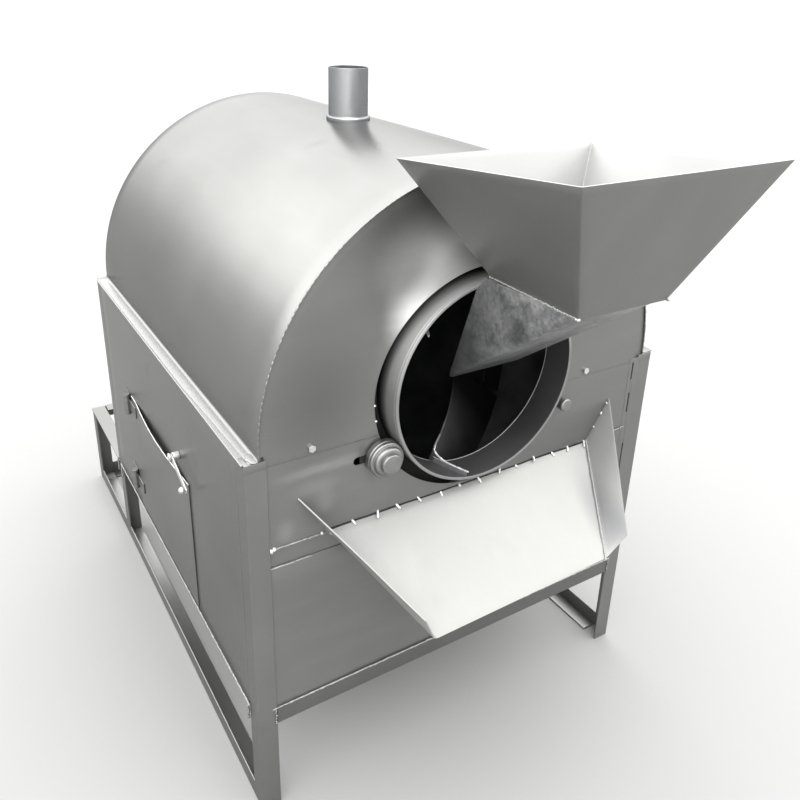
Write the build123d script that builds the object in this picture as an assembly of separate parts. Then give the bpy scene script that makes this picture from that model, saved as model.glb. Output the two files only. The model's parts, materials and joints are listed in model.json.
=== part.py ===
from build123d import *
import os
from math import asin, ceil, cos, hypot, pi, radians, sin, sqrt

# Drum roaster for nuts, in millimetres. While it is drawn, X runs to the right seen from the
# front, Y from the front face to the rear, and Z up from the floor; the last section moves
# the origin to the middle of the footprint.

# Clearances
running = 0.05
seat_gap = 0.3
hole_play = 0.3
overlap = 1.0

# Base frame and cabinet
cabinet_width = 950.0
cabinet_length = 1040.0
bed_length = 344.0
base_height = 255.0
body_height = 804.0
leg = 40.0
wall = 4.0
rail_proud = 3.0
sheet = 2.0
lower_panel_drop = 224.0
middle_panel_drop = 186.0
panel_edge_gap = 1.0
crossbar_lap = 12.0
crossbar_thickness = 8.0

# Hood and flue
hood_shoulder = 25.5
hood_skirt = 8.0
hood_flange_proud = 5.0
hood_inset = 2.0
flue_radius = 43.5
flue_wall = 2.5
flue_height = 109.0
flue_offset = 10.0
flue_collar = 5.0
flue_collar_height = 8.0

# Drum
drum_axis_rise = 51.0
drum_radius = 350.0
drum_rear_gap = 100.0
drum_wall = 3.0
drum_plate = 4.0
neck_radius = 204.0
neck_wall = 4.0
neck_reach = 28.0
neck_rear = 40.0
mouth_gap = 24.0
shaft_radius = 25.0
hub_radius = 90.0
hub_thickness = 12.0

# Flights inside the drum
flight_count = 3
flight_thickness = 3.0
flight_pitch = 1080.0
flight_height = 60.0
flight_segments = 4
flight_gap = 6.0
scoop_inner_radius = 170.0
scoop_length = 216.0
scoop_start_angle = -113.0
lip_strip_height = 12.0
lip_strip_pitch = 2118.0

# Front support rollers
roller_radius = 35.0
roller_width = 22.0
roller_boss_radius = 29.0
roller_boss_length = 9.0
roller_angle = 26.7
roller_standoff = 3.0
roller_side_play = 0.5
axle_radius = 10.0
left_head_radius = 20.0
left_head_length = 8.0
right_head_radius = 14.0
right_head_length = 26.0
axle_nut_radius = 16.0
axle_nut_length = 6.0
bracket_thickness = 4.0
bracket_width = 84.0
bracket_height = 56.0
slot_reach = 54.0
slot_width = 22.0
slot_play = 1.0

# Joint between the front end plate and the middle panel, with straps behind it
seam_drop = 16.0
strap_height = 40.0
strap_thickness = 4.0
strap_mouth_gap = 30.0
seam_bolt_left = 352.0
seam_bolt_right = 281.0
seam_bolt_drop = 2.0
seam_bolt_radius = 4.0
seam_bolt_head = 7.0

# Feed hopper and spout, with corners as Y and height over the hood's top
hopper_rim_half_width = 203.0
hopper_foot_half_width = 85.0
hopper_rim_rear = (-20.0, 25.5)
hopper_rim_front = (-400.0, 60.5)
hopper_foot_rear = (-100.0, -163.5)
hopper_foot_front = (-318.0, -157.5)
hopper_sheet = 2.5
spout_shoulder = (-79.0, -191.5)
spout_tip_y = -12.0
spout_tip_rise = 23.0
gusset_spacing = 104.0
gusset_thickness = 5.0
gusset_drop = 39.5
gusset_height = 96.0
gusset_foot_width = 40.0
hopper_bolt_inset = 18.0
hopper_bolt_radius = 5.0
hopper_bolt_head = 9.0

# Discharge chute
chute_lift = 8.0
chute_half_width = 320.0
chute_reach = 185.0
chute_drop = 152.0
chute_lip_half_width = 212.0
chute_wall_height = 88.0
chute_wall_flare = 50.0
chute_lip_wall_height = 45.0
chute_lip_wall_flare = 28.0
chute_sheet = 2.5

# Side door, hinges and latch
door_front = 330.0
door_length = 445.0
door_sill = 7.0
door_height = 317.0
door_lap = 14.0
door_gap = 0.5
door_bend_height = 100.0
door_bend_out = 10.0
door_bow_steps = 6
lower_hinge_inset = 67.0
upper_hinge_inset = 30.0
hinge_stand_off = 1.0
hinge_offset = 20.0
hinge_pin_radius = 4.0
knuckle_radius = 8.0
knuckle_length = 30.0
lug_length = 12.0
hinge_gap = 0.4
hinge_strap_length = 60.0
hinge_leaf_length = 40.0
hinge_leaf = 3.0
latch_inset = 57.0
latch_rise = 39.0
latch_length = 105.0
latch_width = 14.0
latch_thickness = 3.0
latch_pin_radius = 5.0
latch_collar_radius = 9.0
latch_head_length = 5.0
latch_clearance = 1.5
latch_rest_angle = 70.0

# Rear bearing stand
upright_spacing = 220.0
upright_rise = 75.0
bearing_plate_height = 130.0
bearing_plate_thickness = 10.0
bearing_size = 120.0
bearing_flange = 14.0
bearing_boss_radius = 45.0
bearing_length = 34.0
bearing_bolt_spacing = 90.0
bearing_bolt_radius = 6.0
bearing_bolt_head = 10.5
shaft_hole_play = 8.0

# Chain drive
chain_pitch = 19.05
driven_teeth = 51
drive_teeth = 17
sprocket_thickness = 11.0
seat_radius = 6.0
tooth_height = 5.5
sprocket_hub_radius = 42.0
sprocket_hub_length = 30.0
small_hub_radius = 26.0
sprocket_gap = 12.0
shaft_end = 8.0
lightening_holes = 5
lightening_radius = 34.0
chain_plate = 1.8
chain_plate_half_height = 8.0
chain_pin_step = 4

# Motor and gearbox on the bed
drive_base_thickness = 6.0
drive_base_left = 150.0
drive_base_right = 390.0
drive_base_edge = 8.0
output_height = 110.0
output_radius = 14.0
output_engagement = 30.0
gearbox_radius = 72.0
gearbox_depth = 110.0
gearbox_gap = 10.0
worm_rise = 63.0
worm_radius = 44.0
worm_half_length = 84.0
gearbox_foot_width = 150.0
gearbox_foot_height = 16.0
gearbox_bolt_inset = 12.0
gearbox_bolt_radius = 5.0
gearbox_bolt_head = 9.0
motor_flange_radius = 72.0
motor_flange_length = 12.0
motor_radius = 56.0
motor_fin_radius = 66.0
motor_fins = 20
motor_fin_width = 3.0
motor_length = 150.0
fan_cover_radius = 68.0
fan_cover_length = 55.0
fan_cover_wall = 2.0
fan_vents = 10
terminal_length = 80.0
terminal_width = 70.0
terminal_height = 40.0
gland_radius = 9.0
gland_length = 16.0

# Burners and gas cock
burner_count = 4
burner_spacing = 150.0
burner_radius = 16.0
burner_front = 110.0
manifold_inset = 80.0
manifold_radius = 21.0
manifold_overhang = 40.0
support_front = 220.0
support_rear_inset = 200.0
inlet_x = -300.0
inlet_radius = 13.0
cock_start = 24.0
cock_radius = 18.0
cock_length = 56.0
cock_stem_radius = 7.0
cock_stem_height = 16.0
lever_length = 78.0
lever_width = 16.0
lever_thickness = 4.0
lever_boss_radius = 12.0
spigot_radius = 10.5
spigot_length = 34.0

# Values that follow from those above
half_width = cabinet_width / 2
bed_end = cabinet_length + bed_length
panel_y = wall
panel_back = panel_y + sheet
rear_panel_y = cabinet_length - wall - sheet
panel_half_width = half_width - wall - panel_edge_gap
lower_panel_top = body_height - lower_panel_drop
middle_panel_bottom = body_height - middle_panel_drop
seam_height = body_height - seam_drop
rail_edge = half_width + rail_proud
rail_corner = rail_edge - leg
hood_radius = half_width - hood_shoulder
hood_centre = body_height + hood_skirt
hood_top = hood_centre + hood_radius
end_plate_radius = hood_radius - sheet - seat_gap
flue_y = cabinet_length / 2 + flue_offset
drum_axis_height = body_height + drum_axis_rise
drum_end = cabinet_length - drum_rear_gap
neck_bore = neck_radius - neck_wall
mouth_radius = neck_radius + mouth_gap
shell_bore = drum_radius - drum_wall
shell_start = neck_rear + drum_plate
shell_end = drum_end - drum_plate
flight_twist = 360 / flight_pitch
lip_strip_twist = -360 / lip_strip_pitch
roller_distance = neck_radius + roller_radius + seat_gap
roller_x = roller_distance * cos(radians(roller_angle))
roller_z = drum_axis_height - roller_distance * sin(radians(roller_angle))
rim_rear, rim_front, foot_rear, foot_front, shoulder = [
    (y, hood_top + rise) for y, rise in
    (hopper_rim_rear, hopper_rim_front, hopper_foot_rear, hopper_foot_front, spout_shoulder)]
spout_tip = (spout_tip_y, drum_axis_height + spout_tip_rise)
gusset_top = hood_top - gusset_drop
gusset_bottom = gusset_top - gusset_height
chute_height = middle_panel_bottom + chute_lift
door_rear = door_front + door_length
door_bottom = base_height + door_sill
door_top = door_bottom + door_height
door_outer = half_width + door_gap + sheet
hinge_heights = (door_bottom + lower_hinge_inset, door_top - upper_hinge_inset)
hinge_x = -(half_width + knuckle_radius + hinge_stand_off)
hinge_y = door_rear + hinge_offset
latch_y = door_front + latch_inset
latch_height = door_top + latch_rise
latch_outer = door_outer + door_bend_out + latch_clearance + latch_thickness
base_plate_top = base_height + drive_base_thickness
upright_top = drum_axis_height + upright_rise
bearing_plate_y = cabinet_length + wall + leg
bearing_y = bearing_plate_y + bearing_plate_thickness
sprocket_y = bearing_y + bearing_length + sprocket_gap + sprocket_hub_length / 2
chain_inner_width = sprocket_thickness + 2 * seat_gap
shaft_tip = sprocket_y + sprocket_hub_length / 2 + shaft_end
output_z = base_plate_top + output_height
gearbox_y = sprocket_y + sprocket_hub_length / 2 + gearbox_gap
worm_z = output_z + worm_rise
worm_y = gearbox_y + gearbox_depth / 2
burner_z = base_height + leg + burner_radius
manifold_y = cabinet_length - manifold_inset
support_ys = (support_front, cabinet_length - support_rear_inset)
support_span = half_width - sheet - wall
cock_y = cabinet_length + cock_start

low_corner = (Align.MIN, Align.MIN, Align.MIN)
from_end = (Align.CENTER, Align.CENTER, Align.MIN)
turned_to = {"x": Rot(0, 90, 0), "y": Rot(-90, 0, 0), "z": Rot(0, 0, 0)}
right = Vector(1, 0, 0)
rearward = Vector(0, 1, 0)
upward = Vector(0, 0, 1)


# Shared shapes

def block(low, high):
    size = [b - a for a, b in zip(low, high)]
    return Pos(*low) * Box(*size, align=low_corner)


def rod(start, length, radius, axis):
    return Pos(*start) * turned_to[axis] * Cylinder(radius, length, align=from_end)


def drum_rod(y_start, y_end, radius):
    return rod((0, y_start, drum_axis_height), y_end - y_start, radius, "y")


def outline(*points):
    return make_face(Polyline(*points, close=True))


def rectangle(low, high):
    width, height = high[0] - low[0], high[1] - low[1]
    return Pos((low[0] + high[0]) / 2, (low[1] + high[1]) / 2) * Rectangle(width, height)


def front_plate(sketch, y_front, thickness):
    # A sketch drawn in X and Z becomes a plate whose front face lies at y_front.
    face = Plane(origin=(0, y_front + thickness, 0), x_dir=right, z_dir=-rearward) * sketch
    return extrude(face, amount=thickness)


def side_plate(sketch, x_low, thickness):
    # A sketch drawn in Y and Z becomes a plate that starts at x_low and goes right.
    face = Plane(origin=(x_low, 0, 0), x_dir=rearward, z_dir=right) * sketch
    return extrude(face, amount=thickness)


def angle_bar(start, end, first_leg, second_leg):
    # Angle iron with its outer corner on the line from start to end.
    along = Vector(*end) - Vector(*start)
    if along.dot(first_leg.cross(second_leg)) < 0:
        first_leg, second_leg = second_leg, first_leg
    section = outline((0, 0), (leg, 0), (leg, wall), (wall, wall), (wall, leg), (0, leg))
    face = Plane(origin=start, x_dir=first_leg, z_dir=along) * section
    return extrude(face, amount=along.length)


def bolt(head_seat, direction, shank_radius, shank_length, head_radius):
    # Hexagon bolt: the head stands on head_seat, and the shank runs along direction.
    plane = Plane(origin=head_seat, z_dir=direction)
    head = extrude(plane * RegularPolygon(head_radius, 6), amount=-1.3 * shank_radius)
    return head + extrude(plane * Circle(shank_radius), amount=shank_length)


# Base frame

def corner_posts():
    top = body_height - wall
    posts = []
    for side in (-1, 1):
        for y, inward in ((0, rearward), (cabinet_length, -rearward)):
            x = side * half_width
            posts.append(angle_bar((x, y, 0), (x, y, top), right * -side, inward))
    return posts


def side_rails(y_start, y_end, top):
    rails = []
    for side in (-1, 1):
        x = side * rail_corner
        rails.append(angle_bar((x, y_start, top), (x, y_end, top), right * side, -upward))
    return rails


def bed_end_legs():
    legs = []
    for side in (-1, 1):
        x = side * half_width
        top = base_height - wall
        legs.append(angle_bar((x, bed_end, 0), (x, bed_end, top), right * -side, -rearward))
    return legs


def floor_rails():
    rails = []
    for side in (-1, 1):
        x = side * half_width
        for y_start, y_end in ((leg, cabinet_length - leg), (cabinet_length, bed_end - leg)):
            rails.append(angle_bar((x, y_start, 0), (x, y_end, 0), right * -side, upward))
    return rails


def cross_rails():
    post_edge = half_width - leg
    front_z = base_height - leg
    front = angle_bar((-post_edge, 0, front_z), (post_edge, 0, front_z), rearward, upward)
    rear = angle_bar((-rail_corner, cabinet_length, base_height),
                     (rail_corner, cabinet_length, base_height), rearward, -upward)
    bed = angle_bar((-post_edge, bed_end, base_height), (post_edge, bed_end, base_height),
                    -rearward, -upward)
    floor = angle_bar((-post_edge, bed_end, 0), (post_edge, bed_end, 0), -rearward, upward)
    return [front, rear, bed, floor]


def front_crossbar():
    x = half_width - wall
    return block((-x, panel_back, lower_panel_top - crossbar_lap),
                 (x, panel_back + crossbar_thickness, middle_panel_bottom + crossbar_lap))


# Cabinet panels

def side_panel_sketch():
    return rectangle((leg, base_height), (cabinet_length - leg, body_height - wall))


def left_side_panel():
    opening = rectangle((door_front + door_lap, door_bottom + door_lap),
                        (door_rear - door_lap, door_top - door_lap))
    return side_plate(side_panel_sketch() - opening, -half_width, sheet)


def right_side_panel():
    return side_plate(side_panel_sketch(), half_width - sheet, sheet)


def rear_panel():
    hole = Pos(inlet_x, burner_z) * Circle(inlet_radius + hole_play)
    sketch = rectangle((-panel_half_width, base_height), (panel_half_width, body_height)) - hole
    return front_plate(sketch, rear_panel_y, sheet)


def lower_front_panel():
    bottom = base_height - leg + wall
    sketch = rectangle((-panel_half_width, bottom), (panel_half_width, lower_panel_top))
    return front_plate(sketch, panel_y, sheet)


def mouth_sketch():
    return Pos(0, drum_axis_height) * Circle(mouth_radius)


def middle_front_panel():
    sketch = rectangle((-panel_half_width, middle_panel_bottom), (panel_half_width, seam_height))
    slot_centre = -roller_x - slot_reach / 2
    slot = Pos(slot_centre, roller_z) * SlotCenterToCenter(slot_reach, slot_width)
    axle_hole = Pos(roller_x, roller_z) * Circle(axle_radius + hole_play)
    return front_plate(sketch - mouth_sketch() - slot - axle_hole, panel_y, sheet)


# Hood, end plates and flue

def arch_sketch(radius):
    dome = Pos(0, hood_centre) * Circle(radius)
    above = rectangle((-radius, hood_centre), (radius, hood_centre + radius))
    skirt = rectangle((-radius, body_height), (radius, hood_centre))
    return (dome & above) + skirt


def hood():
    bore = hood_radius - sheet
    section = arch_sketch(hood_radius) - arch_sketch(bore)
    edge = half_width + hood_flange_proud
    for side in (-1, 1):
        near, far = sorted((side * bore, side * edge))
        section = section + rectangle((near, body_height), (far, body_height + sheet))
    shell = front_plate(section, hood_inset, cabinet_length - 2 * hood_inset)
    return shell - rod((0, flue_y, hood_centre), hood_radius + sheet, flue_radius - flue_wall, "z")


def end_plate_sketch():
    return arch_sketch(end_plate_radius)


def front_end_plate():
    # The plate laps down past the hood's flanges to the joint above the rollers.
    skirt = rectangle((-end_plate_radius, seam_height), (end_plate_radius, body_height))
    sketch = end_plate_sketch() + skirt - mouth_sketch()
    for x in (-seam_bolt_left, seam_bolt_right):
        sketch = sketch - seam_bolt_hole(x)
    for side in (-1, 1):
        for z in hopper_bolt_heights():
            hole = Circle(hopper_bolt_radius + hole_play)
            sketch = sketch - Pos(side * gusset_bolt_x(), z) * hole
    return front_plate(sketch, panel_y, sheet)


def rear_end_plate():
    hole = Pos(0, drum_axis_height) * Circle(shaft_radius + shaft_hole_play)
    return front_plate(end_plate_sketch() - hole, rear_panel_y, sheet)


def flue():
    # A short tube with a collar at its foot, both cut to sit on the hood's curve.
    foot = (0, flue_y, hood_centre)
    length = hood_top + flue_height - hood_centre
    tube = rod(foot, length, flue_radius, "z")
    collar = rod(foot, hood_radius + flue_collar_height, flue_radius + flue_collar, "z")
    tube = tube + collar - rod(foot, length, flue_radius - flue_wall, "z")
    start = flue_y - 2 * flue_radius
    saddle = rod((0, start, hood_centre), 4 * flue_radius, hood_radius + seat_gap / 2, "y")
    return tube - saddle


def seam_bolt_hole(x):
    return Pos(x, body_height - seam_bolt_drop) * Circle(seam_bolt_radius + hole_play)


def seam_straps():
    inner = mouth_radius + strap_mouth_gap
    outer = rail_corner - sheet
    low, high = seam_height - strap_height / 2, seam_height + strap_height / 2
    left = rectangle((-outer, low), (-inner, high)) - seam_bolt_hole(-seam_bolt_left)
    other = rectangle((inner, low), (outer, high)) - seam_bolt_hole(seam_bolt_right)
    return [front_plate(sketch, panel_back, strap_thickness) for sketch in (left, other)]


def seam_bolts():
    length = sheet + strap_thickness
    z = body_height - seam_bolt_drop
    return [bolt((x, panel_y, z), rearward, seam_bolt_radius, length, seam_bolt_head)
            for x in (-seam_bolt_left, seam_bolt_right)]


# Drum and its flights

def drum_shell():
    return drum_rod(shell_start, shell_end, drum_radius) - drum_rod(shell_start, shell_end, shell_bore)


def drum_front_plate():
    return drum_rod(neck_rear, shell_start, drum_radius) - drum_rod(neck_rear, shell_start, neck_bore)


def drum_neck():
    ring = drum_rod(-neck_reach, neck_rear, neck_radius) - drum_rod(-neck_reach, neck_rear, neck_bore)
    lip = ring.edges().group_by(Axis.Y)[0]
    return chamfer(lip, 0.35 * neck_wall)


def drum_rear_plate():
    return drum_rod(shell_end, drum_end, drum_radius)


def drum_shaft():
    hub = drum_rod(drum_end, drum_end + hub_thickness, hub_radius)
    return hub + drum_rod(drum_end, shaft_tip, shaft_radius)


def helical_strip(inner, outer, y_start, y_end, start_angle, twist):
    # A flight standing on the drum's wall. Its sections lie in planes through the drum's axis.
    sweep = twist * (y_end - y_start)
    steps = max(2, ceil(abs(sweep) / 9))
    slope = radians(abs(twist)) * (inner + outer) / 2
    axial = flight_thickness * hypot(1, slope) / slope
    sections = []
    for step in range(steps + 1):
        share = step / steps
        angle = radians(start_angle + sweep * share)
        radial = Vector(cos(angle), 0, sin(angle))
        y = y_start + axial / 2 + (y_end - y_start - axial) * share
        plane = Plane(origin=(0, y, drum_axis_height), x_dir=radial, z_dir=radial.cross(rearward))
        sections.append(plane * Pos((inner + outer) / 2, 0) * Rectangle(outer - inner, axial))
    return loft(sections, ruled=True)


def flight_angles():
    return [scoop_start_angle + 360 * index / flight_count for index in range(flight_count)]


def discharge_scoops():
    # Tall helical plates that lift the nuts to the neck, and a low strip on through the neck.
    scoops = []
    for angle in flight_angles():
        scoops.append(helical_strip(scoop_inner_radius, shell_bore - seat_gap, shell_start,
                                    shell_start + scoop_length, angle, flight_twist))
        reach = neck_rear + neck_reach
        scoops.append(helical_strip(neck_bore - lip_strip_height, neck_bore - seat_gap,
                                    -neck_reach, neck_rear, angle - lip_strip_twist * reach,
                                    lip_strip_twist))
    return scoops


def mixing_flights():
    start = shell_start + scoop_length + flight_gap
    length = (shell_end - start) / flight_segments
    strips = []
    for angle in flight_angles():
        for index in range(flight_segments):
            y_start = start + index * length
            first = angle + flight_twist * (y_start - shell_start)
            strips.append(helical_strip(shell_bore - flight_height, shell_bore - seat_gap,
                                        y_start, y_start + length - flight_gap, first, flight_twist))
    return strips


# Front support rollers: the left one runs in front of the panel, the right one behind it

def left_roller_span():
    rear = panel_y - roller_standoff
    return rear - roller_width, rear


def right_roller_span():
    front = panel_back + bracket_thickness + roller_side_play
    return front, front + roller_width


def left_roller():
    front, rear = left_roller_span()
    boss_front = front - roller_boss_length
    rim = rod((-roller_x, front, roller_z), roller_width, roller_radius, "y")
    rim = chamfer(rim.edges(), 0.1 * roller_width)
    boss = rod((-roller_x, boss_front, roller_z), roller_boss_length, roller_boss_radius, "y")
    boss = chamfer(boss.edges().group_by(Axis.Y)[0], 0.25 * roller_boss_length)
    bore = rod((-roller_x, boss_front, roller_z), rear - boss_front, axle_radius + running, "y")
    return rim + boss - bore


def right_roller():
    front, rear = right_roller_span()
    rim = rod((roller_x, front, roller_z), roller_width, roller_radius, "y")
    rim = chamfer(rim.edges(), 0.1 * roller_width)
    return rim - rod((roller_x, front, roller_z), rear - front, axle_radius + running, "y")


def left_roller_axle():
    head_seat = left_roller_span()[0] - roller_boss_length - roller_side_play
    head_front = head_seat - left_head_length
    head = rod((-roller_x, head_front, roller_z), left_head_length, left_head_radius, "y")
    head = chamfer(head.edges().group_by(Axis.Y)[0], 0.3 * left_head_length)
    collar_start = left_roller_span()[1] + roller_side_play
    collar_radius = slot_width / 2 - slot_play
    plate_back = panel_back + bracket_thickness
    collar = rod((-roller_x, collar_start, roller_z), panel_back - collar_start, collar_radius, "y")
    pin = rod((-roller_x, head_front, roller_z), plate_back + axle_nut_length - head_front, axle_radius, "y")
    nut = rod((-roller_x, plate_back, roller_z), axle_nut_length, axle_nut_radius, "y")
    return head + collar + pin + nut


def right_roller_axle():
    head = rod((roller_x, panel_y - right_head_length, roller_z), right_head_length, right_head_radius, "y")
    head = chamfer(head.edges().group_by(Axis.Y)[0], 0.1 * right_head_length)
    end = right_roller_span()[1] + roller_side_play
    pin = rod((roller_x, panel_y, roller_z), end + axle_nut_length - panel_y, axle_radius, "y")
    nut = rod((roller_x, end, roller_z), axle_nut_length, axle_nut_radius, "y")
    return head + pin + nut


def roller_brackets():
    brackets = []
    for side in (-1, 1):
        plate = Pos(side * roller_x, roller_z) * Rectangle(bracket_width, bracket_height)
        hole = Pos(side * roller_x, roller_z) * Circle(axle_radius + hole_play)
        clear_of_mouth = plate - mouth_sketch() - hole
        brackets.append(front_plate(clear_of_mouth, panel_back, bracket_thickness))
    return brackets


# Feed hopper and spout

def along_line(start, end, height):
    share = (height - start[1]) / (end[1] - start[1])
    return start[0] + (end[0] - start[0]) * share


def tilted_frame(front_half, rear_half, front, rear):
    # A trapezium across the machine whose front and rear edges lie at the given Y and Z.
    slope = Vector(0, rear[0] - front[0], rear[1] - front[1])
    centre = (0, (front[0] + rear[0]) / 2, (front[1] + rear[1]) / 2)
    plane = Plane(origin=centre, x_dir=right, z_dir=right.cross(slope))
    half = slope.length / 2
    return plane * outline((-front_half, -half), (front_half, -half), (rear_half, half), (-rear_half, half))


def flat_foot_half(foot_half, rim_half, inset):
    # Rear half width of the hopper's foot that keeps each side wall flat.
    rim, foot = edge_points(rim_front, rim_rear, inset), edge_points(foot_front, foot_rear, inset)
    corner = Vector(rim_half, *rim[0])
    along_rim = Vector(rim_half, *rim[1]) - corner
    down = Vector(foot_half, *foot[0]) - corner
    normal = along_rim.cross(down)
    step = Vector(rim_half, *foot[1]) - corner
    return rim_half - normal.dot(step) / normal.X


def hopper_solid(inset):
    foot_half = hopper_foot_half_width - inset
    rim_half = hopper_rim_half_width - inset
    rear_half = flat_foot_half(foot_half, rim_half, inset)
    foot = tilted_frame(foot_half, rear_half, *edge_points(foot_front, foot_rear, inset))
    rim = tilted_frame(rim_half, rim_half, *edge_points(rim_front, rim_rear, inset))
    return loft([foot, rim], ruled=True)


def edge_points(front, rear, inset):
    # Both ends of a sloping edge, moved toward each other along it by inset in Y.
    slope = (rear[1] - front[1]) / (rear[0] - front[0])
    step = inset * slope
    return (front[0] + inset, front[1] + step), (rear[0] - inset, rear[1] - step)


def hopper():
    return hopper_solid(0) - hopper_solid(hopper_sheet)


def feed_spout():
    # Two cheeks and a floor. The floor carries on from the hopper's front wall into the mouth.
    cheek = outline(foot_rear, shoulder, spout_tip, foot_front)
    solid = side_plate(cheek, -hopper_foot_half_width, 2 * hopper_foot_half_width)
    rise = spout_tip[1] - foot_front[1]
    run = spout_tip[0] - foot_front[0]
    lift = hopper_sheet * hypot(run, rise) / run
    floor_front = (foot_front[0], foot_front[1] + lift)
    floor_tip = (spout_tip[0] + run, spout_tip[1] + rise + lift)
    top = rim_front[1]
    hollow = outline(floor_front, floor_tip, (floor_tip[0], top), (floor_front[0], top))
    inner = hopper_foot_half_width - hopper_sheet
    return solid - side_plate(hollow, -inner, 2 * inner)


def gusset_bolt_x():
    return (gusset_spacing - gusset_thickness - gusset_foot_width) / 2


def hopper_bolt_heights():
    return gusset_bottom + hopper_bolt_inset, gusset_top - hopper_bolt_inset


def hopper_brackets():
    # Gussets behind the hopper, each with an inward foot that is bolted to the end plate.
    wall_bottom = along_line(foot_rear, rim_rear, gusset_bottom)
    wall_top = along_line(foot_rear, rim_rear, gusset_top)
    web = outline((panel_y, gusset_bottom), (panel_y, gusset_top),
                  (wall_top, gusset_top), (wall_bottom, gusset_bottom))
    brackets = []
    for side in (-1, 1):
        inner = side * (gusset_spacing - gusset_thickness) / 2
        outer = side * (gusset_spacing + gusset_thickness) / 2
        foot_edge = inner - side * gusset_foot_width
        gusset = side_plate(web, min(inner, outer), gusset_thickness)
        foot = rectangle((min(outer, foot_edge), gusset_bottom), (max(outer, foot_edge), gusset_top))
        for z in hopper_bolt_heights():
            foot = foot - Pos(side * gusset_bolt_x(), z) * Circle(hopper_bolt_radius + hole_play)
        brackets.append(gusset + front_plate(foot, panel_y - gusset_thickness, gusset_thickness))
    return brackets


def hopper_bolts():
    seat = panel_y - gusset_thickness
    length = gusset_thickness + sheet
    return [bolt((side * gusset_bolt_x(), seat, z), rearward, hopper_bolt_radius, length, hopper_bolt_head)
            for side in (-1, 1) for z in hopper_bolt_heights()]


# Discharge chute

def tray_section(half_floor, flare, floor_z, wall_height, skin):
    top = floor_z + wall_height
    rim = half_floor + flare
    thick = skin * hypot(flare, wall_height) / wall_height
    return outline((-rim, top), (-half_floor, floor_z), (half_floor, floor_z), (rim, top),
                   (rim + thick, top), (half_floor + thick / 2, floor_z - skin),
                   (-half_floor - thick / 2, floor_z - skin), (-rim - thick, top))


def discharge_chute():
    skin = chute_sheet * hypot(chute_reach, chute_drop) / chute_reach
    back = tray_section(chute_half_width, chute_wall_flare, chute_height, chute_wall_height, skin)
    lip_z = chute_height - chute_drop
    lip = tray_section(chute_lip_half_width, chute_lip_wall_flare, lip_z, chute_lip_wall_height, skin)
    planes = [Plane(origin=(0, y, 0), x_dir=right, z_dir=-rearward) for y in (panel_y, -chute_reach)]
    return loft([planes[0] * back, planes[1] * lip], ruled=True)


# Side door, its hinges and the turn latch

def door_bow(y):
    # How far the top edge stands out at y: it bows between the front edge and the hinges.
    share = (y - door_front) / (hinge_y - hinge_strap_length - door_front)
    return max(0, door_bend_out * sin(pi * min(share, 1)))


def door_section(y):
    inner = -(half_width + door_gap)
    bend = door_top - door_bend_height
    middle = door_top - door_bend_height / 2
    bow = door_bow(y)
    line = [(inner, door_bottom), (inner, bend), (inner - bow / 4, middle), (inner - bow, door_top)]
    back = [(x - sheet, z) for x, z in reversed(line)]
    plane = Plane(origin=(0, y, 0), x_dir=right, z_dir=-rearward)
    return plane * outline(*line, *back)


def access_door():
    bowed = hinge_y - hinge_strap_length - door_front
    ys = [door_front + bowed * step / door_bow_steps for step in range(door_bow_steps + 1)]
    return loft([door_section(y) for y in ys + [door_rear]], ruled=True)


def door_hinge_straps():
    straps = []
    for z in hinge_heights:
        low = z - knuckle_length / 2
        barrel = rod((hinge_x, hinge_y, low), knuckle_length, knuckle_radius, "z")
        leaf = block((-door_outer - hinge_leaf, hinge_y - hinge_strap_length, low),
                     (-door_outer, hinge_y, low + knuckle_length))
        bore = rod((hinge_x, hinge_y, low), knuckle_length, hinge_pin_radius + running, "z")
        straps.append(barrel + leaf - bore)
    return straps


def door_hinge_lugs():
    # Each lug leaf carries a barrel above and below the strap, joined by the pin.
    lugs = []
    for z in hinge_heights:
        reach = knuckle_length / 2 + hinge_gap
        leaf = block((-half_width - hinge_leaf, hinge_y, z - reach - lug_length),
                     (-half_width, hinge_y + hinge_leaf_length, z + reach + lug_length))
        clear = rod((hinge_x, hinge_y, z - reach), 2 * reach, knuckle_radius + hinge_gap, "z")
        lug = leaf - clear
        for low in (z - reach - lug_length, z + reach):
            barrel = rod((hinge_x, hinge_y, low), lug_length, knuckle_radius, "z")
            web = block((hinge_x, hinge_y, low), (-half_width, hinge_y + knuckle_radius, low + lug_length))
            lug = lug + barrel + web
        pin = rod((hinge_x, hinge_y, z - reach), 2 * reach, hinge_pin_radius, "z")
        lugs.append(lug + pin)
    return lugs


def latch_bar_span():
    return -latch_outer, -latch_outer + latch_thickness


def latch_pivot():
    bar_low, bar_high = latch_bar_span()
    head_low = bar_low - hinge_gap - latch_head_length
    collar_low = bar_high + hinge_gap
    collar = rod((collar_low, latch_y, latch_height), -half_width - collar_low, latch_collar_radius, "x")
    pin = rod((head_low, latch_y, latch_height), -half_width - head_low, latch_pin_radius, "x")
    head = rod((head_low, latch_y, latch_height), latch_head_length, latch_collar_radius, "x")
    return collar + pin + head


def door_latch():
    # A flat bar that hangs from its pivot, drawn pointing down and then turned aside.
    centre_drop = latch_length / 2 - latch_width / 2
    bar = Pos(0, -centre_drop) * SlotOverall(latch_length, latch_width, rotation=90)
    bar = bar - Circle(latch_pin_radius + running)
    sketch = Pos(latch_y, latch_height) * Rot(0, 0, -latch_rest_angle) * bar
    return side_plate(sketch, latch_bar_span()[0], latch_thickness)


# Rear bearing stand

def bearing_stand_positions():
    half = bearing_bolt_spacing / 2
    return [(x, drum_axis_height + z) for x in (-half, half) for z in (-half, half)]


def plate_bolt_positions():
    x = upright_spacing / 2 - leg / 2
    z = bearing_plate_height / 2 - leg / 3
    return [(side * x, drum_axis_height + step) for side in (-1, 1) for step in (-z, z)]


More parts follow.
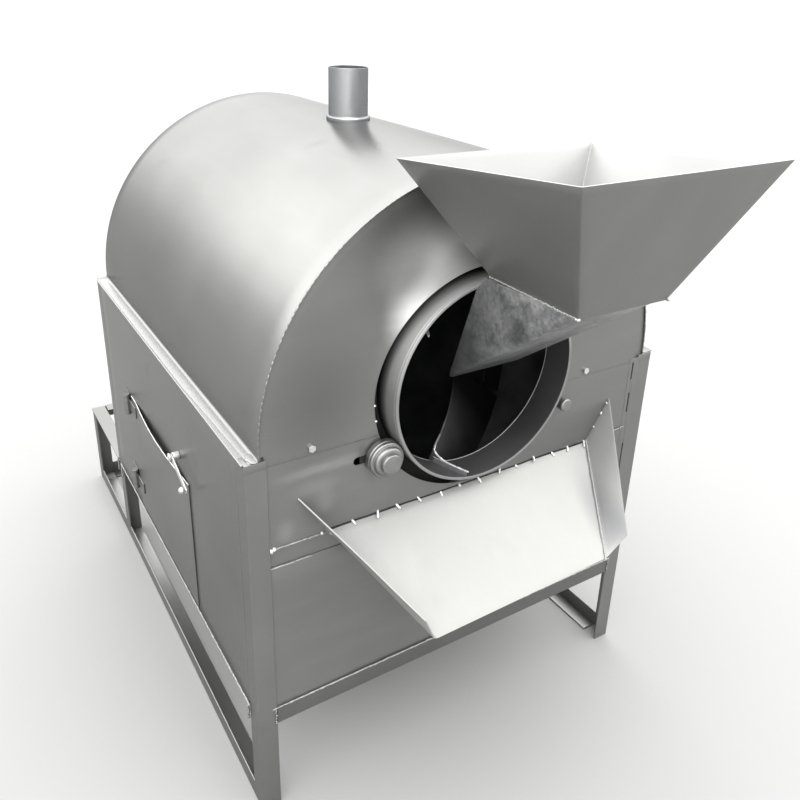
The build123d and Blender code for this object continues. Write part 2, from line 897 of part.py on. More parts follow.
def bolt_holes(positions, radius):
    return [Pos(*place) * Circle(radius + hole_play) for place in positions]


def bearing_uprights():
    uprights = []
    for side in (-1, 1):
        x = side * upright_spacing / 2
        y = bearing_plate_y
        bar = angle_bar((x, y, base_plate_top), (x, y, upright_top), right * -side, -rearward)
        for place in plate_bolt_positions():
            bar = bar - rod((place[0], y - wall, place[1]), wall, bearing_bolt_radius + hole_play, "y")
        uprights.append(bar)
    return uprights


def bearing_plate():
    sketch = Pos(0, drum_axis_height) * Rectangle(upright_spacing, bearing_plate_height)
    sketch = sketch - Pos(0, drum_axis_height) * Circle(shaft_radius + shaft_hole_play)
    for hole in bolt_holes(plate_bolt_positions() + bearing_stand_positions(), bearing_bolt_radius):
        sketch = sketch - hole
    return front_plate(sketch, bearing_plate_y, bearing_plate_thickness)


def bearing_housing():
    square = Pos(0, drum_axis_height) * RectangleRounded(bearing_size, bearing_size, bearing_size / 8)
    for hole in bolt_holes(bearing_stand_positions(), bearing_bolt_radius):
        square = square - hole
    flange = front_plate(square, bearing_y, bearing_flange)
    boss = drum_rod(bearing_y, bearing_y + bearing_length, bearing_boss_radius)
    boss = chamfer(boss.edges().group_by(Axis.Y)[-1], 0.12 * bearing_length)
    return flange + boss - drum_rod(bearing_y, bearing_y + bearing_length, shaft_radius + running)


def bearing_bolts():
    seat = bearing_y + bearing_flange
    inner = [bolt((x, seat, z), -rearward, bearing_bolt_radius, bearing_flange + bearing_plate_thickness,
                  bearing_bolt_head) for x, z in bearing_stand_positions()]
    outer = [bolt((x, bearing_y, z), -rearward, bearing_bolt_radius, bearing_plate_thickness + wall,
                  bearing_bolt_head) for x, z in plate_bolt_positions()]
    return inner + outer


# Chain drive

def pitch_radius(teeth):
    return chain_pitch / (2 * sin(pi / teeth))


def toothed_disc(teeth, centre_z):
    radius = pitch_radius(teeth)
    depth = 2 * tooth_height
    flank = seat_radius + 0.35 * depth
    seat = Circle(seat_radius) + outline((0, -seat_radius), (depth, -flank), (depth, flank), (0, seat_radius))
    disc = Circle(radius + tooth_height) - PolarLocations(radius, teeth) * seat
    return Pos(0, centre_z) * disc


def driven_sprocket():
    sketch = toothed_disc(driven_teeth, drum_axis_height)
    ring = (pitch_radius(driven_teeth) + sprocket_hub_radius) / 2
    for spot in PolarLocations(ring, lightening_holes):
        sketch = sketch - Pos(0, drum_axis_height) * spot * Circle(lightening_radius)
    disc = front_plate(sketch, sprocket_y - sprocket_thickness / 2, sprocket_thickness)
    half = sprocket_hub_length / 2
    hub = drum_rod(sprocket_y - half, sprocket_y + half, sprocket_hub_radius)
    return disc + hub - drum_rod(sprocket_y - half, sprocket_y + half, shaft_radius + running)


def drive_sprocket():
    sketch = toothed_disc(drive_teeth, output_z)
    disc = front_plate(sketch, sprocket_y - sprocket_thickness / 2, sprocket_thickness)
    half = sprocket_hub_length / 2
    hub = rod((0, sprocket_y - half, output_z), sprocket_hub_length, small_hub_radius, "y")
    length = gearbox_y + output_engagement - (sprocket_y - half)
    return disc + hub + rod((0, sprocket_y - half, output_z), length, output_radius, "y")


def chain_normal():
    sine = (pitch_radius(drive_teeth) - pitch_radius(driven_teeth)) / (drum_axis_height - output_z)
    return cos(asin(sine)), sine


def chain_loop(offset):
    # Outline round both sprockets at an offset from the pitch line.
    across, rise = chain_normal()
    big = pitch_radius(driven_teeth) + offset
    small = pitch_radius(drive_teeth) + offset
    upper = (big * across, drum_axis_height + big * rise)
    lower = (small * across, output_z + small * rise)
    mirrored = lambda point: (-point[0], point[1])
    top = ThreePointArc(upper, (0, drum_axis_height + big), mirrored(upper))
    bottom = ThreePointArc(mirrored(lower), (0, output_z - small), lower)
    return make_face([Line(lower, upper), top, Line(mirrored(upper), mirrored(lower)), bottom])


def drive_chain():
    # Side plates on both sides of the teeth, with the pins of the two straight runs.
    band = chain_loop(chain_plate_half_height) - chain_loop(-chain_plate_half_height)
    half = chain_inner_width / 2
    near = sprocket_y - half - chain_plate
    plates = [front_plate(band, y, chain_plate) for y in (near, sprocket_y + half)]
    across, rise = chain_normal()
    length = sqrt((drum_axis_height - output_z) ** 2
                  - (pitch_radius(driven_teeth) - pitch_radius(drive_teeth)) ** 2)
    start = Vector(pitch_radius(drive_teeth) * across, 0, output_z + pitch_radius(drive_teeth) * rise)
    step = Vector(-rise, 0, across) * chain_pitch * chain_pin_step
    pins = []
    for index in range(1, int(length / step.length)):
        place = start + step * index
        for side in (-1, 1):
            spot = (side * place.X, sprocket_y - half, place.Z)
            pins.append(rod(spot, chain_inner_width, seat_radius, "y"))
    chain = plates[0] + plates[1]
    for pin in pins:
        chain = chain + pin
    return chain


# Motor and gearbox

def gearbox_bolt_positions():
    x = gearbox_foot_width / 2 - gearbox_bolt_inset
    ys = (gearbox_y + gearbox_bolt_inset, gearbox_y + gearbox_depth - gearbox_bolt_inset)
    return [(side * x, y) for side in (-1, 1) for y in ys]


def drive_base():
    plate = block((-drive_base_left, cabinet_length + wall, base_height),
                  (drive_base_right, bed_end - drive_base_edge, base_plate_top))
    for x, y in gearbox_bolt_positions():
        plate = plate - rod((x, y, base_height), drive_base_thickness, gearbox_bolt_radius + hole_play, "z")
    return plate


def gearbox():
    case = rod((0, gearbox_y, output_z), gearbox_depth, gearbox_radius, "y")
    case = chamfer(case.edges(), 0.1 * gearbox_depth)
    worm = rod((-worm_half_length, worm_y, worm_z), 2 * worm_half_length, worm_radius, "x")
    half_foot = gearbox_foot_width / 2
    foot = block((-half_foot, gearbox_y, base_plate_top),
                 (half_foot, gearbox_y + gearbox_depth, base_plate_top + gearbox_foot_height))
    web_half = 0.7 * gearbox_radius
    web = block((-web_half, gearbox_y + gearbox_foot_height, base_plate_top),
                (web_half, gearbox_y + gearbox_depth - gearbox_foot_height, output_z))
    body = case + worm + foot + web
    body = body - rod((0, gearbox_y, output_z), output_engagement + overlap, output_radius + running, "y")
    for x, y in gearbox_bolt_positions():
        body = body - rod((x, y, base_plate_top), gearbox_foot_height, gearbox_bolt_radius + hole_play, "z")
    return body


def gearbox_bolts():
    seat = base_plate_top + gearbox_foot_height
    length = gearbox_foot_height + drive_base_thickness
    return [bolt((x, y, seat), -upward, gearbox_bolt_radius, length, gearbox_bolt_head)
            for x, y in gearbox_bolt_positions()]


def motor_span():
    start = worm_half_length
    return start, start + motor_flange_length + motor_length


def motor():
    start, end = motor_span()
    flange = rod((start, worm_y, worm_z), motor_flange_length, motor_flange_radius, "x")
    fin_height = 2 * motor_fin_radius
    section = Circle(motor_radius)
    for index in range(motor_fins // 2):
        section = section + Rot(0, 0, 360 * index / motor_fins) * Rectangle(motor_fin_width, fin_height)
    plane = Plane(origin=(start, worm_y, worm_z), x_dir=rearward, z_dir=right)
    return flange + extrude(plane * section, amount=end - start)


def motor_fan_cover():
    start = motor_span()[1]
    cover = rod((start, worm_y, worm_z), fan_cover_length, fan_cover_radius, "x")
    cover = chamfer(cover.edges().group_by(Axis.X)[-1], 0.2 * fan_cover_length)
    inner = fan_cover_radius - fan_cover_wall
    hollow = rod((start, worm_y, worm_z), fan_cover_length - fan_cover_wall, inner, "x")
    hollow = chamfer(hollow.edges().group_by(Axis.X)[-1], 0.2 * fan_cover_length)
    ring = 0.5 * motor_radius
    vent_x = start + fan_cover_length - 2 * fan_cover_wall
    cover = cover - hollow
    for index in range(fan_vents):
        angle = 2 * pi * index / fan_vents
        place = (vent_x, worm_y + ring * cos(angle), worm_z + ring * sin(angle))
        cover = cover - rod(place, 3 * fan_cover_wall, 0.18 * ring, "x")
    return cover


def terminal_box():
    start = motor_span()[0] + motor_flange_length + (motor_length - terminal_length) / 2
    low = (start, worm_y - terminal_width / 2, worm_z + motor_fin_radius)
    box = block(low, (start + terminal_length, low[1] + terminal_width, low[2] + terminal_height))
    box = fillet(box.edges().filter_by(Axis.Z), 0.15 * terminal_height)
    centre = (start + terminal_length / 2, low[1] + terminal_width, low[2] + terminal_height / 2)
    return box + rod(centre, gland_length, gland_radius, "y")


# Burners and gas cock

def burner_xs():
    return [burner_spacing * (index - (burner_count - 1) / 2) for index in range(burner_count)]


def burner_tubes():
    saddle = manifold_solid(seat_gap)
    return [rod((x, burner_front, burner_z), manifold_y - burner_front, burner_radius, "y") - saddle
            for x in burner_xs()]


def manifold_solid(extra=0.0):
    start = inlet_x - manifold_overhang
    length = burner_xs()[-1] + manifold_overhang - start
    return rod((start, manifold_y, burner_z), length, manifold_radius + extra, "x")


def burner_manifold():
    inlet = rod((inlet_x, manifold_y, burner_z), cock_y - manifold_y, inlet_radius, "y")
    return manifold_solid() + inlet


def burner_supports():
    return [angle_bar((-support_span, y, base_height), (support_span, y, base_height), rearward, upward)
            for y in support_ys]


def gas_cock():
    body = rod((inlet_x, cock_y, burner_z), cock_length, cock_radius, "y")
    body = chamfer(body.edges(), 0.25 * cock_radius)
    stem = rod((inlet_x, cock_y + cock_length / 2, burner_z), cock_radius + cock_stem_height,
               cock_stem_radius, "z")
    spigot = rod((inlet_x, cock_y + cock_length - overlap, burner_z), spigot_length, spigot_radius, "y")
    return body + stem + spigot


def gas_cock_lever():
    y = cock_y + cock_length / 2
    low = burner_z + cock_radius + hinge_gap
    height = cock_stem_height + lever_thickness - hinge_gap
    boss = rod((inlet_x, y, low), height, lever_boss_radius, "z")
    top = low + height
    bar = block((inlet_x - lever_length, y - lever_width / 2, top - lever_thickness),
                (inlet_x, y + lever_width / 2, top))
    stem_room = rod((inlet_x, y, low), height - lever_thickness + hinge_gap, cock_stem_radius + running, "z")
    return boss + bar - stem_room


# All pieces by name

pieces = {
    "corner_posts": corner_posts(),
    "base_side_rails": side_rails(leg, cabinet_length - leg, base_height),
    "bed_side_rails": side_rails(cabinet_length, bed_end - wall, base_height),
    "bed_end_legs": bed_end_legs(),
    "floor_rails": floor_rails(),
    "cross_rails": cross_rails(),
    "top_side_rails": side_rails(panel_back, rear_panel_y, body_height),
    "front_crossbar": front_crossbar(),
    "left_side_panel": left_side_panel(),
    "right_side_panel": right_side_panel(),
    "rear_panel": rear_panel(),
    "lower_front_panel": lower_front_panel(),
    "middle_front_panel": middle_front_panel(),
    "hood": hood(),
    "front_end_plate": front_end_plate(),
    "rear_end_plate": rear_end_plate(),
    "flue": flue(),
    "seam_straps": seam_straps(),
    "seam_bolts": seam_bolts(),
    "drum_shell": drum_shell(),
    "drum_front_plate": drum_front_plate(),
    "drum_neck": drum_neck(),
    "drum_rear_plate": drum_rear_plate(),
    "drum_shaft": drum_shaft(),
    "discharge_scoops": discharge_scoops(),
    "mixing_flights": mixing_flights(),
    "left_roller": left_roller(),
    "right_roller": right_roller(),
    "left_roller_axle": left_roller_axle(),
    "right_roller_axle": right_roller_axle(),
    "roller_brackets": roller_brackets(),
    "hopper": hopper(),
    "feed_spout": feed_spout(),
    "hopper_brackets": hopper_brackets(),
    "hopper_bolts": hopper_bolts(),
    "discharge_chute": discharge_chute(),
    "access_door": access_door(),
    "door_hinge_straps": door_hinge_straps(),
    "door_hinge_lugs": door_hinge_lugs(),
    "latch_pivot": latch_pivot(),
    "door_latch": door_latch(),
    "bearing_uprights": bearing_uprights(),
    "bearing_plate": bearing_plate(),
    "bearing_housing": bearing_housing(),
    "bearing_bolts": bearing_bolts(),
    "driven_sprocket": driven_sprocket(),
    "drive_sprocket": drive_sprocket(),
    "drive_chain": drive_chain(),
    "drive_base": drive_base(),
    "gearbox": gearbox(),
    "gearbox_bolts": gearbox_bolts(),
    "motor": motor(),
    "motor_fan_cover": motor_fan_cover(),
    "terminal_box": terminal_box(),
    "burner_tubes": burner_tubes(),
    "burner_manifold": burner_manifold(),
    "burner_supports": burner_supports(),
    "gas_cock": gas_cock(),
    "gas_cock_lever": gas_cock_lever(),
}

# The origin goes to the middle of the footprint, on the floor
groups = {name: shape if isinstance(shape, list) else [shape] for name, shape in pieces.items()}
boxes = [shape.bounding_box() for shapes in groups.values() for shape in shapes]
low = [min(getattr(box.min, axis) for box in boxes) for axis in "XYZ"]
high = [max(getattr(box.max, axis) for box in boxes) for axis in "XYZ"]
origin = Vector((low[0] + high[0]) / 2, (low[1] + high[1]) / 2, low[2])

os.makedirs("parts", exist_ok=True)
for name, shapes in groups.items():
    solids = [solid.moved(Location(-origin)) for shape in shapes for solid in shape.solids()]
    node = solids[0] if len(solids) == 1 else Compound(children=solids)
    export_step(node, f"parts/{name}.step")
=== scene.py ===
import json
import math
import random

import bmesh
import bpy
from mathutils import Matrix, Vector

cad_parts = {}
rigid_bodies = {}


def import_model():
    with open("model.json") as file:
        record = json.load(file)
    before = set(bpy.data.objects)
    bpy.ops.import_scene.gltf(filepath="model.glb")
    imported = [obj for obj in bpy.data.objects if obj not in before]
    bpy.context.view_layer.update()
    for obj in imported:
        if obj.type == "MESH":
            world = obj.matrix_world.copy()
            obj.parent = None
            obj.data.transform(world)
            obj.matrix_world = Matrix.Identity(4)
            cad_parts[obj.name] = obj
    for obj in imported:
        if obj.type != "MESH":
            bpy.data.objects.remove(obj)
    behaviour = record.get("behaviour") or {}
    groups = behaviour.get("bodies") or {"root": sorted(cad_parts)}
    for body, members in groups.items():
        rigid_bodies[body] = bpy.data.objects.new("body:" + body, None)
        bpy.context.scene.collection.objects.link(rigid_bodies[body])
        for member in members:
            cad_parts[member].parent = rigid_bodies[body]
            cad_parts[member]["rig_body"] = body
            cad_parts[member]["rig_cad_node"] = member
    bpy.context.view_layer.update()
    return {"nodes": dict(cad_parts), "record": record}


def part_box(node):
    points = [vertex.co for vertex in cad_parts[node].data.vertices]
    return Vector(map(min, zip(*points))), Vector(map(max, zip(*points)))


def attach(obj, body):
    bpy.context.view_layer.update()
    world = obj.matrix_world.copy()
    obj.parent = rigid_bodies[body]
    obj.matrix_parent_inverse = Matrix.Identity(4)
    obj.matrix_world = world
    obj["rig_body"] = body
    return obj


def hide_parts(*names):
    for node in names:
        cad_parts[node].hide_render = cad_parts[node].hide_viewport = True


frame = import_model()
nodes = frame["nodes"]
record = frame["record"]
slotOf = {entry["node"]: entry["material_slot"] for entry in record["subparts"]}
bodyOf = {node: body for body, members in record["behaviour"]["bodies"].items() for node in members}
random.seed(11)
print("frame loaded,", len(nodes), "nodes")


# Shader sums: a wire is a socket that can stand in an expression

class Wire:
    def __init__(self, finish, socket):
        self.finish = finish
        self.socket = socket

    def sum(self, operation, first, second):
        return self.finish.node("Math", {"operation": operation}, {0: first, 1: second})

    def __add__(self, other):
        return self.sum("ADD", self, other)

    def __sub__(self, other):
        return self.sum("SUBTRACT", self, other)

    def __rsub__(self, other):
        return self.sum("SUBTRACT", other, self)

    def __mul__(self, other):
        return self.sum("MULTIPLY", self, other)

    __radd__ = __add__
    __rmul__ = __mul__


class Bench:  # a node tree that takes new nodes
    def __init__(self, tree):
        self.tree = tree

    def node(self, kind, settings=None, sockets=None, out=0):
        made = self.tree.nodes.new("ShaderNode" + kind)
        for key, value in (settings or {}).items():
            setattr(made, key, value)
        for key, value in (sockets or {}).items():
            self.feed(made.inputs[key], value)
        return Wire(self, made.outputs[out])

    def feed(self, socket, value):
        if isinstance(value, Wire):
            self.tree.links.new(value.socket, socket)
        else:
            socket.default_value = value


class Finish(Bench):
    def __init__(self, name, constants):
        self.material = bpy.data.materials.new(name)
        self.material.use_nodes = True
        super().__init__(self.material.node_tree)
        self.shader = self.tree.nodes["Principled BSDF"]
        for socket, value in constants.items():
            self.shader.inputs[socket].default_value = value
        self.coords = self.node("TexCoord", out="Object")

    def noise(self, scale, detail, stretch=(1, 1, 1)):
        place = self.node("Mapping", None, {"Vector": self.coords, "Scale": stretch})
        return self.node("TexNoise", None, {"Vector": place, "Scale": scale, "Detail": detail})

    def spangle(self, scale):
        return self.node("TexVoronoi", {"feature": "F1"}, {"Vector": self.coords, "Scale": scale}, "Color")

    def window(self, wire, low, high):  # 0 below low, 1 above high
        return self.node("MapRange", {"clamp": True}, {"Value": wire, "From Min": low, "From Max": high})

    def along(self, axis):
        return self.node("SeparateXYZ", None, {0: self.coords}, axis)

    def tint(self, share, first, second):
        first, second = [value if isinstance(value, Wire) else (*value, 1) for value in (first, second)]
        return self.node("Mix", {"data_type": "RGBA"}, {0: share, 6: first, 7: second}, 2)

    def spot(self, at, reach):  # 1 in the middle of an ellipse on the front, 0 past its rim
        step = self.node("VectorMath", {"operation": "SUBTRACT"}, {0: self.coords, 1: (at[0], 0, at[1])})
        scale = (1 / reach[0], 0, 1 / reach[1])
        share = self.node("VectorMath", {"operation": "MULTIPLY"}, {0: step, 1: scale})
        far = self.node("VectorMath", {"operation": "LENGTH"}, {0: share}, "Value")
        return self.node("MapRange", {"interpolation_type": "SMOOTHSTEP"},
                         {"Value": far, "From Min": 1.0, "From Max": 0.0})

    def mark(self, name):  # a face attribute of the piece
        return self.node("Attribute", {"attribute_name": name}, None, "Fac")

    def wear(self, colour, roughness, relief, depth):
        self.feed(self.shader.inputs["Base Color"], colour)
        self.feed(self.shader.inputs["Roughness"], roughness)
        bump = self.node("Bump", None, {"Strength": 1.0, "Distance": depth, "Height": relief})
        self.feed(self.shader.inputs["Normal"], bump)
        return self.material


# Finishes

silverPaint = {"dark": (0.185, 0.186, 0.180), "light": (0.228, 0.229, 0.222), "smudge": (0.145, 0.145, 0.139),
               "metallic": 0.88, "roughness": 0.25, "edgeTint": (0.55, 0.55, 0.55, 1),
               "clouds": 2.4, "cloudSpan": (0.32, 0.68), "cloudShare": 0.7,
               "strokes": 16.0, "stretch": (1, 0.16, 0.5), "strokeSpan": (0.45, 0.75), "strokeShare": 0.3,
               "smudges": 6.5, "smudgeSpan": (0.62, 0.80), "smudgeShare": 0.45,
               "grain": 520.0, "depth": 0.00022, "patches": ()}
hoodPaint = {**silverPaint, "dark": (0.195, 0.196, 0.190), "light": (0.238, 0.239, 0.232), "roughness": 0.18,
             "edgeTint": (0.42, 0.42, 0.42, 1),
             "pale": {"between": (0.8095, 0.8065), "side": (0.05, -0.05), "colour": (0.205, 0.205, 0.20),
                      "metallic": 0.3}}  # painted highlight: the left flange paler and less metallic, where its top catches the light
fluePaint = {**silverPaint, "dark": (0.155, 0.158, 0.163), "light": (0.20, 0.203, 0.208), "roughness": 0.20,
             "patches": [  # painted highlight down the front, on a darker paint that stands for the shaded sides
                 {"at": (-0.012, 1.31), "reach": (0.028, 0.5), "even": 0.9, "colour": (0.46, 0.465, 0.47)}]}
framePaint = {**silverPaint, "roughness": 0.30}
doorPaint = {**silverPaint,  # painted highlight: paler along the top edge
             "pale": {"between": (0.5770, 0.5784), "colour": (0.55, 0.55, 0.54), "metallic": 0.1}}
# painted highlight: the top rails' top faces paler and less metallic
topRailPaint = {**framePaint,
                "pale": {"between": (0.8020, 0.8036), "colour": (0.23, 0.23, 0.225), "metallic": 0.3}}
barPaint = {**framePaint, "dark": (0.140, 0.140, 0.136), "light": (0.172, 0.172, 0.167)}
# painted shade: the base side rails darker, as in the shade under the side panels
railShadePaint = {**framePaint, "dark": (0.088, 0.088, 0.085), "light": (0.115, 0.115, 0.111)}
platePaint = {**silverPaint, "dark": (0.152, 0.153, 0.148), "light": (0.190, 0.191, 0.184), "metallic": 0.7,
              "strokes": 26.0, "stretch": (0.22, 1, 1), "patches": [  # a darker place, a painted highlight and pale brush smears
    # darker to the left of the mouth
    {"at": (-0.326, 0.880), "reach": (0.150, 0.190), "even": 0.9, "colour": (0.118, 0.119, 0.115)},
    # the next two: painted highlight over the mouth's upper left
    {"at": (-0.078, 1.104), "reach": (0.165, 0.118), "even": 0.9, "colour": (0.74, 0.74, 0.73)},
    {"at": (-0.162, 1.012), "reach": (0.055, 0.085), "even": 0.75, "colour": (0.55, 0.55, 0.54)},
    # the rest: pale brush smears on the middle panel
    {"at": (-0.305, 0.755), "reach": (0.13, 0.020), "even": 0.15, "colour": (0.32, 0.32, 0.32)},
    {"at": (-0.335, 0.722), "reach": (0.07, 0.026), "even": 0.35, "colour": (0.28, 0.28, 0.28)},
    {"at": (-0.318, 0.690), "reach": (0.030, 0.045), "even": 0.5, "colour": (0.25, 0.25, 0.25)},
    {"at": (-0.395, 0.648), "reach": (0.026, 0.034), "even": 0.6, "colour": (0.235, 0.235, 0.23)}]}
hopperPaint = {**silverPaint, "dark": (0.112, 0.113, 0.108), "light": (0.140, 0.141, 0.135), "metallic": 0.35}
neckPaint = {**silverPaint, "dark": (0.145, 0.145, 0.145), "light": (0.18, 0.18, 0.178), "metallic": 0.3,
             "roughness": 0.34,
             # painted highlight: the top of the neck paler
             "pale": {"between": (0.87, 0.98), "colour": (0.36, 0.36, 0.357), "metallic": 0.3},
             # painted shade: black back towards the gap behind the front plate
             "soot": {"between": (-0.486, -0.460), "colour": (0.010, 0.010, 0.010)}}
brightSheet = {**silverPaint, "dark": (0.228, 0.229, 0.222), "light": (0.258, 0.259, 0.250),
               "smudge": (0.214, 0.214, 0.206), "metallic": 0.35, "roughness": 0.36}
chutePaint = {**brightSheet, "patches": [  # painted shade: the right wall darker towards its lip
    {"at": (0.268, 0.528), "reach": (0.060, 0.076), "even": 0.9, "colour": (0.15, 0.151, 0.154)}]}


def paintedSteel(name, look, inside=None):  # sprayed silver with faint strokes, smudges and a fine grain
    finish = Finish(name, {"Metallic": look["metallic"], "Specular Tint": look["edgeTint"]})
    clouds = finish.window(finish.noise(look["clouds"], 5.0), *look["cloudSpan"])
    strokes = finish.window(finish.noise(look["strokes"], 3.0, look["stretch"]), *look["strokeSpan"])
    smudges = finish.window(finish.noise(look["smudges"], 6.0), *look["smudgeSpan"])
    grain = finish.noise(look["grain"], 2.0)
    share = clouds * look["cloudShare"] + strokes * look["strokeShare"]
    colour = finish.tint(share, look["dark"], look["light"])
    colour = finish.tint(smudges * look["smudgeShare"], colour, look["smudge"])
    for patch in look["patches"]:
        share = finish.spot(patch["at"], patch["reach"]) * (patch["even"] + strokes * (1 - patch["even"]))
        colour = finish.tint(share, colour, patch["colour"])
    roughness = look["roughness"] + clouds * 0.05 + smudges * 0.08 + grain * 0.06
    metal = look["metallic"]
    if "pale" in look:  # painted highlight: a paler, less metallic coat between two heights
        pale = look["pale"]
        share = finish.window(finish.along("Z"), *pale["between"])
        if "side" in pale:
            share = share * finish.window(finish.along("X"), *pale["side"])
        colour = finish.tint(share, colour, pale["colour"])
        metal = metal + share * (pale["metallic"] - metal)
    if "soot" in look:  # painted shade: black from one place along the drum to the next
        share = finish.window(finish.along("Y"), *look["soot"]["between"])
        colour = finish.tint(share, colour, look["soot"]["colour"])
    if inside:  # another coat on the faces that are marked
        bare = finish.mark("bareInside")
        colour = finish.tint(bare, colour, finish.tint(clouds, inside["dark"], inside["light"]))
        metal = metal + bare * (inside["metallic"] - metal)
    finish.feed(finish.shader.inputs["Metallic"], metal)
    return finish.wear(colour, roughness, grain + strokes * 0.5, look["depth"])


galvanised = {"dark": (0.102, 0.105, 0.108), "light": (0.28, 0.282, 0.278), "stain": (0.055, 0.056, 0.06),
              "rubbed": (0.34, 0.34, 0.335), "crystals": 150.0, "clouds": 30.0, "fine": 110.0,
              "zincSpan": (0.34, 0.66), "streaks": 60.0, "stretch": (1, 0.3, 0.5), "streakSpan": (0.55, 0.75),
              "stains": 12.0, "stainSpan": (0.50, 0.70), "sootAlong": (-0.68, -0.53), "metallic": 0.7,
              "roughness": 0.34, "depth": 0.0005}  # sootAlong: darker towards the drum


def galvanisedSheet(name, look):  # dull mottled zinc with a faint spangle, stains and rubbed streaks
    finish = Finish(name, {"Metallic": look["metallic"]})
    crystals = finish.node("SeparateColor", None, {0: finish.spangle(look["crystals"])})
    clouds = finish.noise(look["clouds"], 7.0)
    fine = finish.noise(look["fine"], 5.0)
    streaks = finish.window(finish.noise(look["streaks"], 4.0, look["stretch"]), *look["streakSpan"])
    stains = finish.window(finish.noise(look["stains"], 5.0), *look["stainSpan"])
    share = finish.window(clouds * 0.5 + fine * 0.35 + crystals * 0.15, *look["zincSpan"])
    colour = finish.tint(share, look["dark"], look["light"])
    colour = finish.tint(streaks * 0.4, colour, look["rubbed"])
    colour = finish.tint(stains * 0.65, colour, look["stain"])
    soot = finish.window(finish.along("Y"), *look["sootAlong"])
    colour = finish.tint(soot * 0.7, colour, look["stain"])
    return finish.wear(colour, look["roughness"] + fine * 0.22, clouds + fine * 0.5, look["depth"])


patchSpan = (0.30, 0.70)  # how sharply the patches of bare metal stand out
bareSteel = {
    "drum_steel": {"dark": (0.028, 0.028, 0.029), "light": (0.12, 0.119, 0.122), "metallic": 0.6,
                   "roughness": 0.40, "patch": 9.0, "grain": 260.0, "depth": 0.0004},
    "turned_steel": {"dark": (0.18, 0.18, 0.178), "light": (0.30, 0.30, 0.296), "metallic": 0.95,
                     "roughness": 0.34, "patch": 30.0, "grain": 700.0, "depth": 0.00012},
    "chain_steel": {"dark": (0.05, 0.046, 0.042), "light": (0.20, 0.19, 0.175), "metallic": 0.9,
                    "roughness": 0.34, "patch": 60.0, "grain": 800.0, "depth": 0.0001},
    "zinc_bolts": {"dark": (0.48, 0.48, 0.46), "light": (0.70, 0.70, 0.67), "metallic": 0.95,
                   "roughness": 0.26, "patch": 80.0, "grain": 900.0, "depth": 0.0001},
    "hinge_steel": {"dark": (0.36, 0.36, 0.35), "light": (0.58, 0.58, 0.565), "metallic": 0.9,
                    "roughness": 0.33, "patch": 45.0, "grain": 700.0, "depth": 0.00015},
    "cast_housing": {"dark": (0.055, 0.068, 0.075), "light": (0.10, 0.12, 0.13), "metallic": 0.0,
                     "roughness": 0.46, "patch": 14.0, "grain": 420.0, "depth": 0.0006},
    "motor_paint": {"dark": (0.035, 0.060, 0.085), "light": (0.055, 0.088, 0.118), "metallic": 0.0,
                    "roughness": 0.36, "patch": 10.0, "grain": 600.0, "depth": 0.00025},
    "burner_iron": {"dark": (0.020, 0.018, 0.017), "light": (0.085, 0.062, 0.048), "metallic": 0.35,
                    "roughness": 0.58, "patch": 24.0, "grain": 380.0, "depth": 0.0005},
    "cock_brass": {"dark": (0.50, 0.34, 0.11), "light": (0.72, 0.53, 0.22), "metallic": 1.0,
                   "roughness": 0.24, "patch": 50.0, "grain": 900.0, "depth": 0.0001},
    "lever_paint": {"dark": (0.50, 0.30, 0.02), "light": (0.62, 0.39, 0.03), "metallic": 0.0,
                    "roughness": 0.30, "patch": 30.0, "grain": 500.0, "depth": 0.0002},
}


def patchySteel(name, look):  # bare or painted metal with patches and a fine grain
    finish = Finish(name, {"Metallic": look["metallic"]})
    patches = finish.window(finish.noise(look["patch"], 6.0), *patchSpan)
    grain = finish.noise(look["grain"], 3.0)
    colour = finish.tint(patches * 0.75 + grain * 0.25, look["dark"], look["light"])
    return finish.wear(colour, look["roughness"] + patches * 0.10 + grain * 0.08, grain, look["depth"])


def wearAndHighlightEdges(name, look):  # dark steel, pale on the marked faces from wear and a painted highlight, with painted shade deeper in
    finish = Finish(name, {})
    patches = finish.window(finish.noise(look["patch"], 6.0), *patchSpan)
    grain = finish.noise(look["grain"], 3.0)
    edge = finish.mark("wornEdge") * (0.6 + patches * 0.4)
    colour = finish.tint(patches * 0.6 + grain * 0.4, look["dark"], look["light"])
    # painted shade: darker deeper into the drum
    deepShade = finish.window(finish.along("Y"), *look["fade"])
    colour = finish.tint(edge, finish.tint(deepShade, colour, look["deep"]), look["worn"])
    metal = look["metallic"] + edge * (look["wornMetallic"] - look["metallic"])
    finish.feed(finish.shader.inputs["Metallic"], metal)
    return finish.wear(colour, look["roughness"] + patches * 0.14, grain, look["depth"])


rubbedInside = {"dark": (0.235, 0.235, 0.232), "light": (0.28, 0.28, 0.277), "metallic": 0.2}
sootyInside = {"dark": (0.032, 0.032, 0.033), "light": (0.078, 0.078, 0.080), "metallic": 0.5}
finishes = {
    "silver_sheet": paintedSteel("silverSheet", silverPaint),
    "frame_steel": paintedSteel("frameSilver", framePaint),
    "bright_sheet": paintedSteel("brightSheet", brightSheet),
    "galvanised_sheet": galvanisedSheet("galvanisedSheet", galvanised),
}
for slotName, steelLook in bareSteel.items():
    finishes[slotName] = patchySteel(slotName, steelLook)
weldLook = {"dark": (0.42, 0.42, 0.41), "light": (0.74, 0.74, 0.73), "metallic": 0.75,
            "roughness": 0.34, "patch": 160.0, "grain": 900.0, "depth": 0.0003}
weldMetal = patchySteel("weldMetal", weldLook)
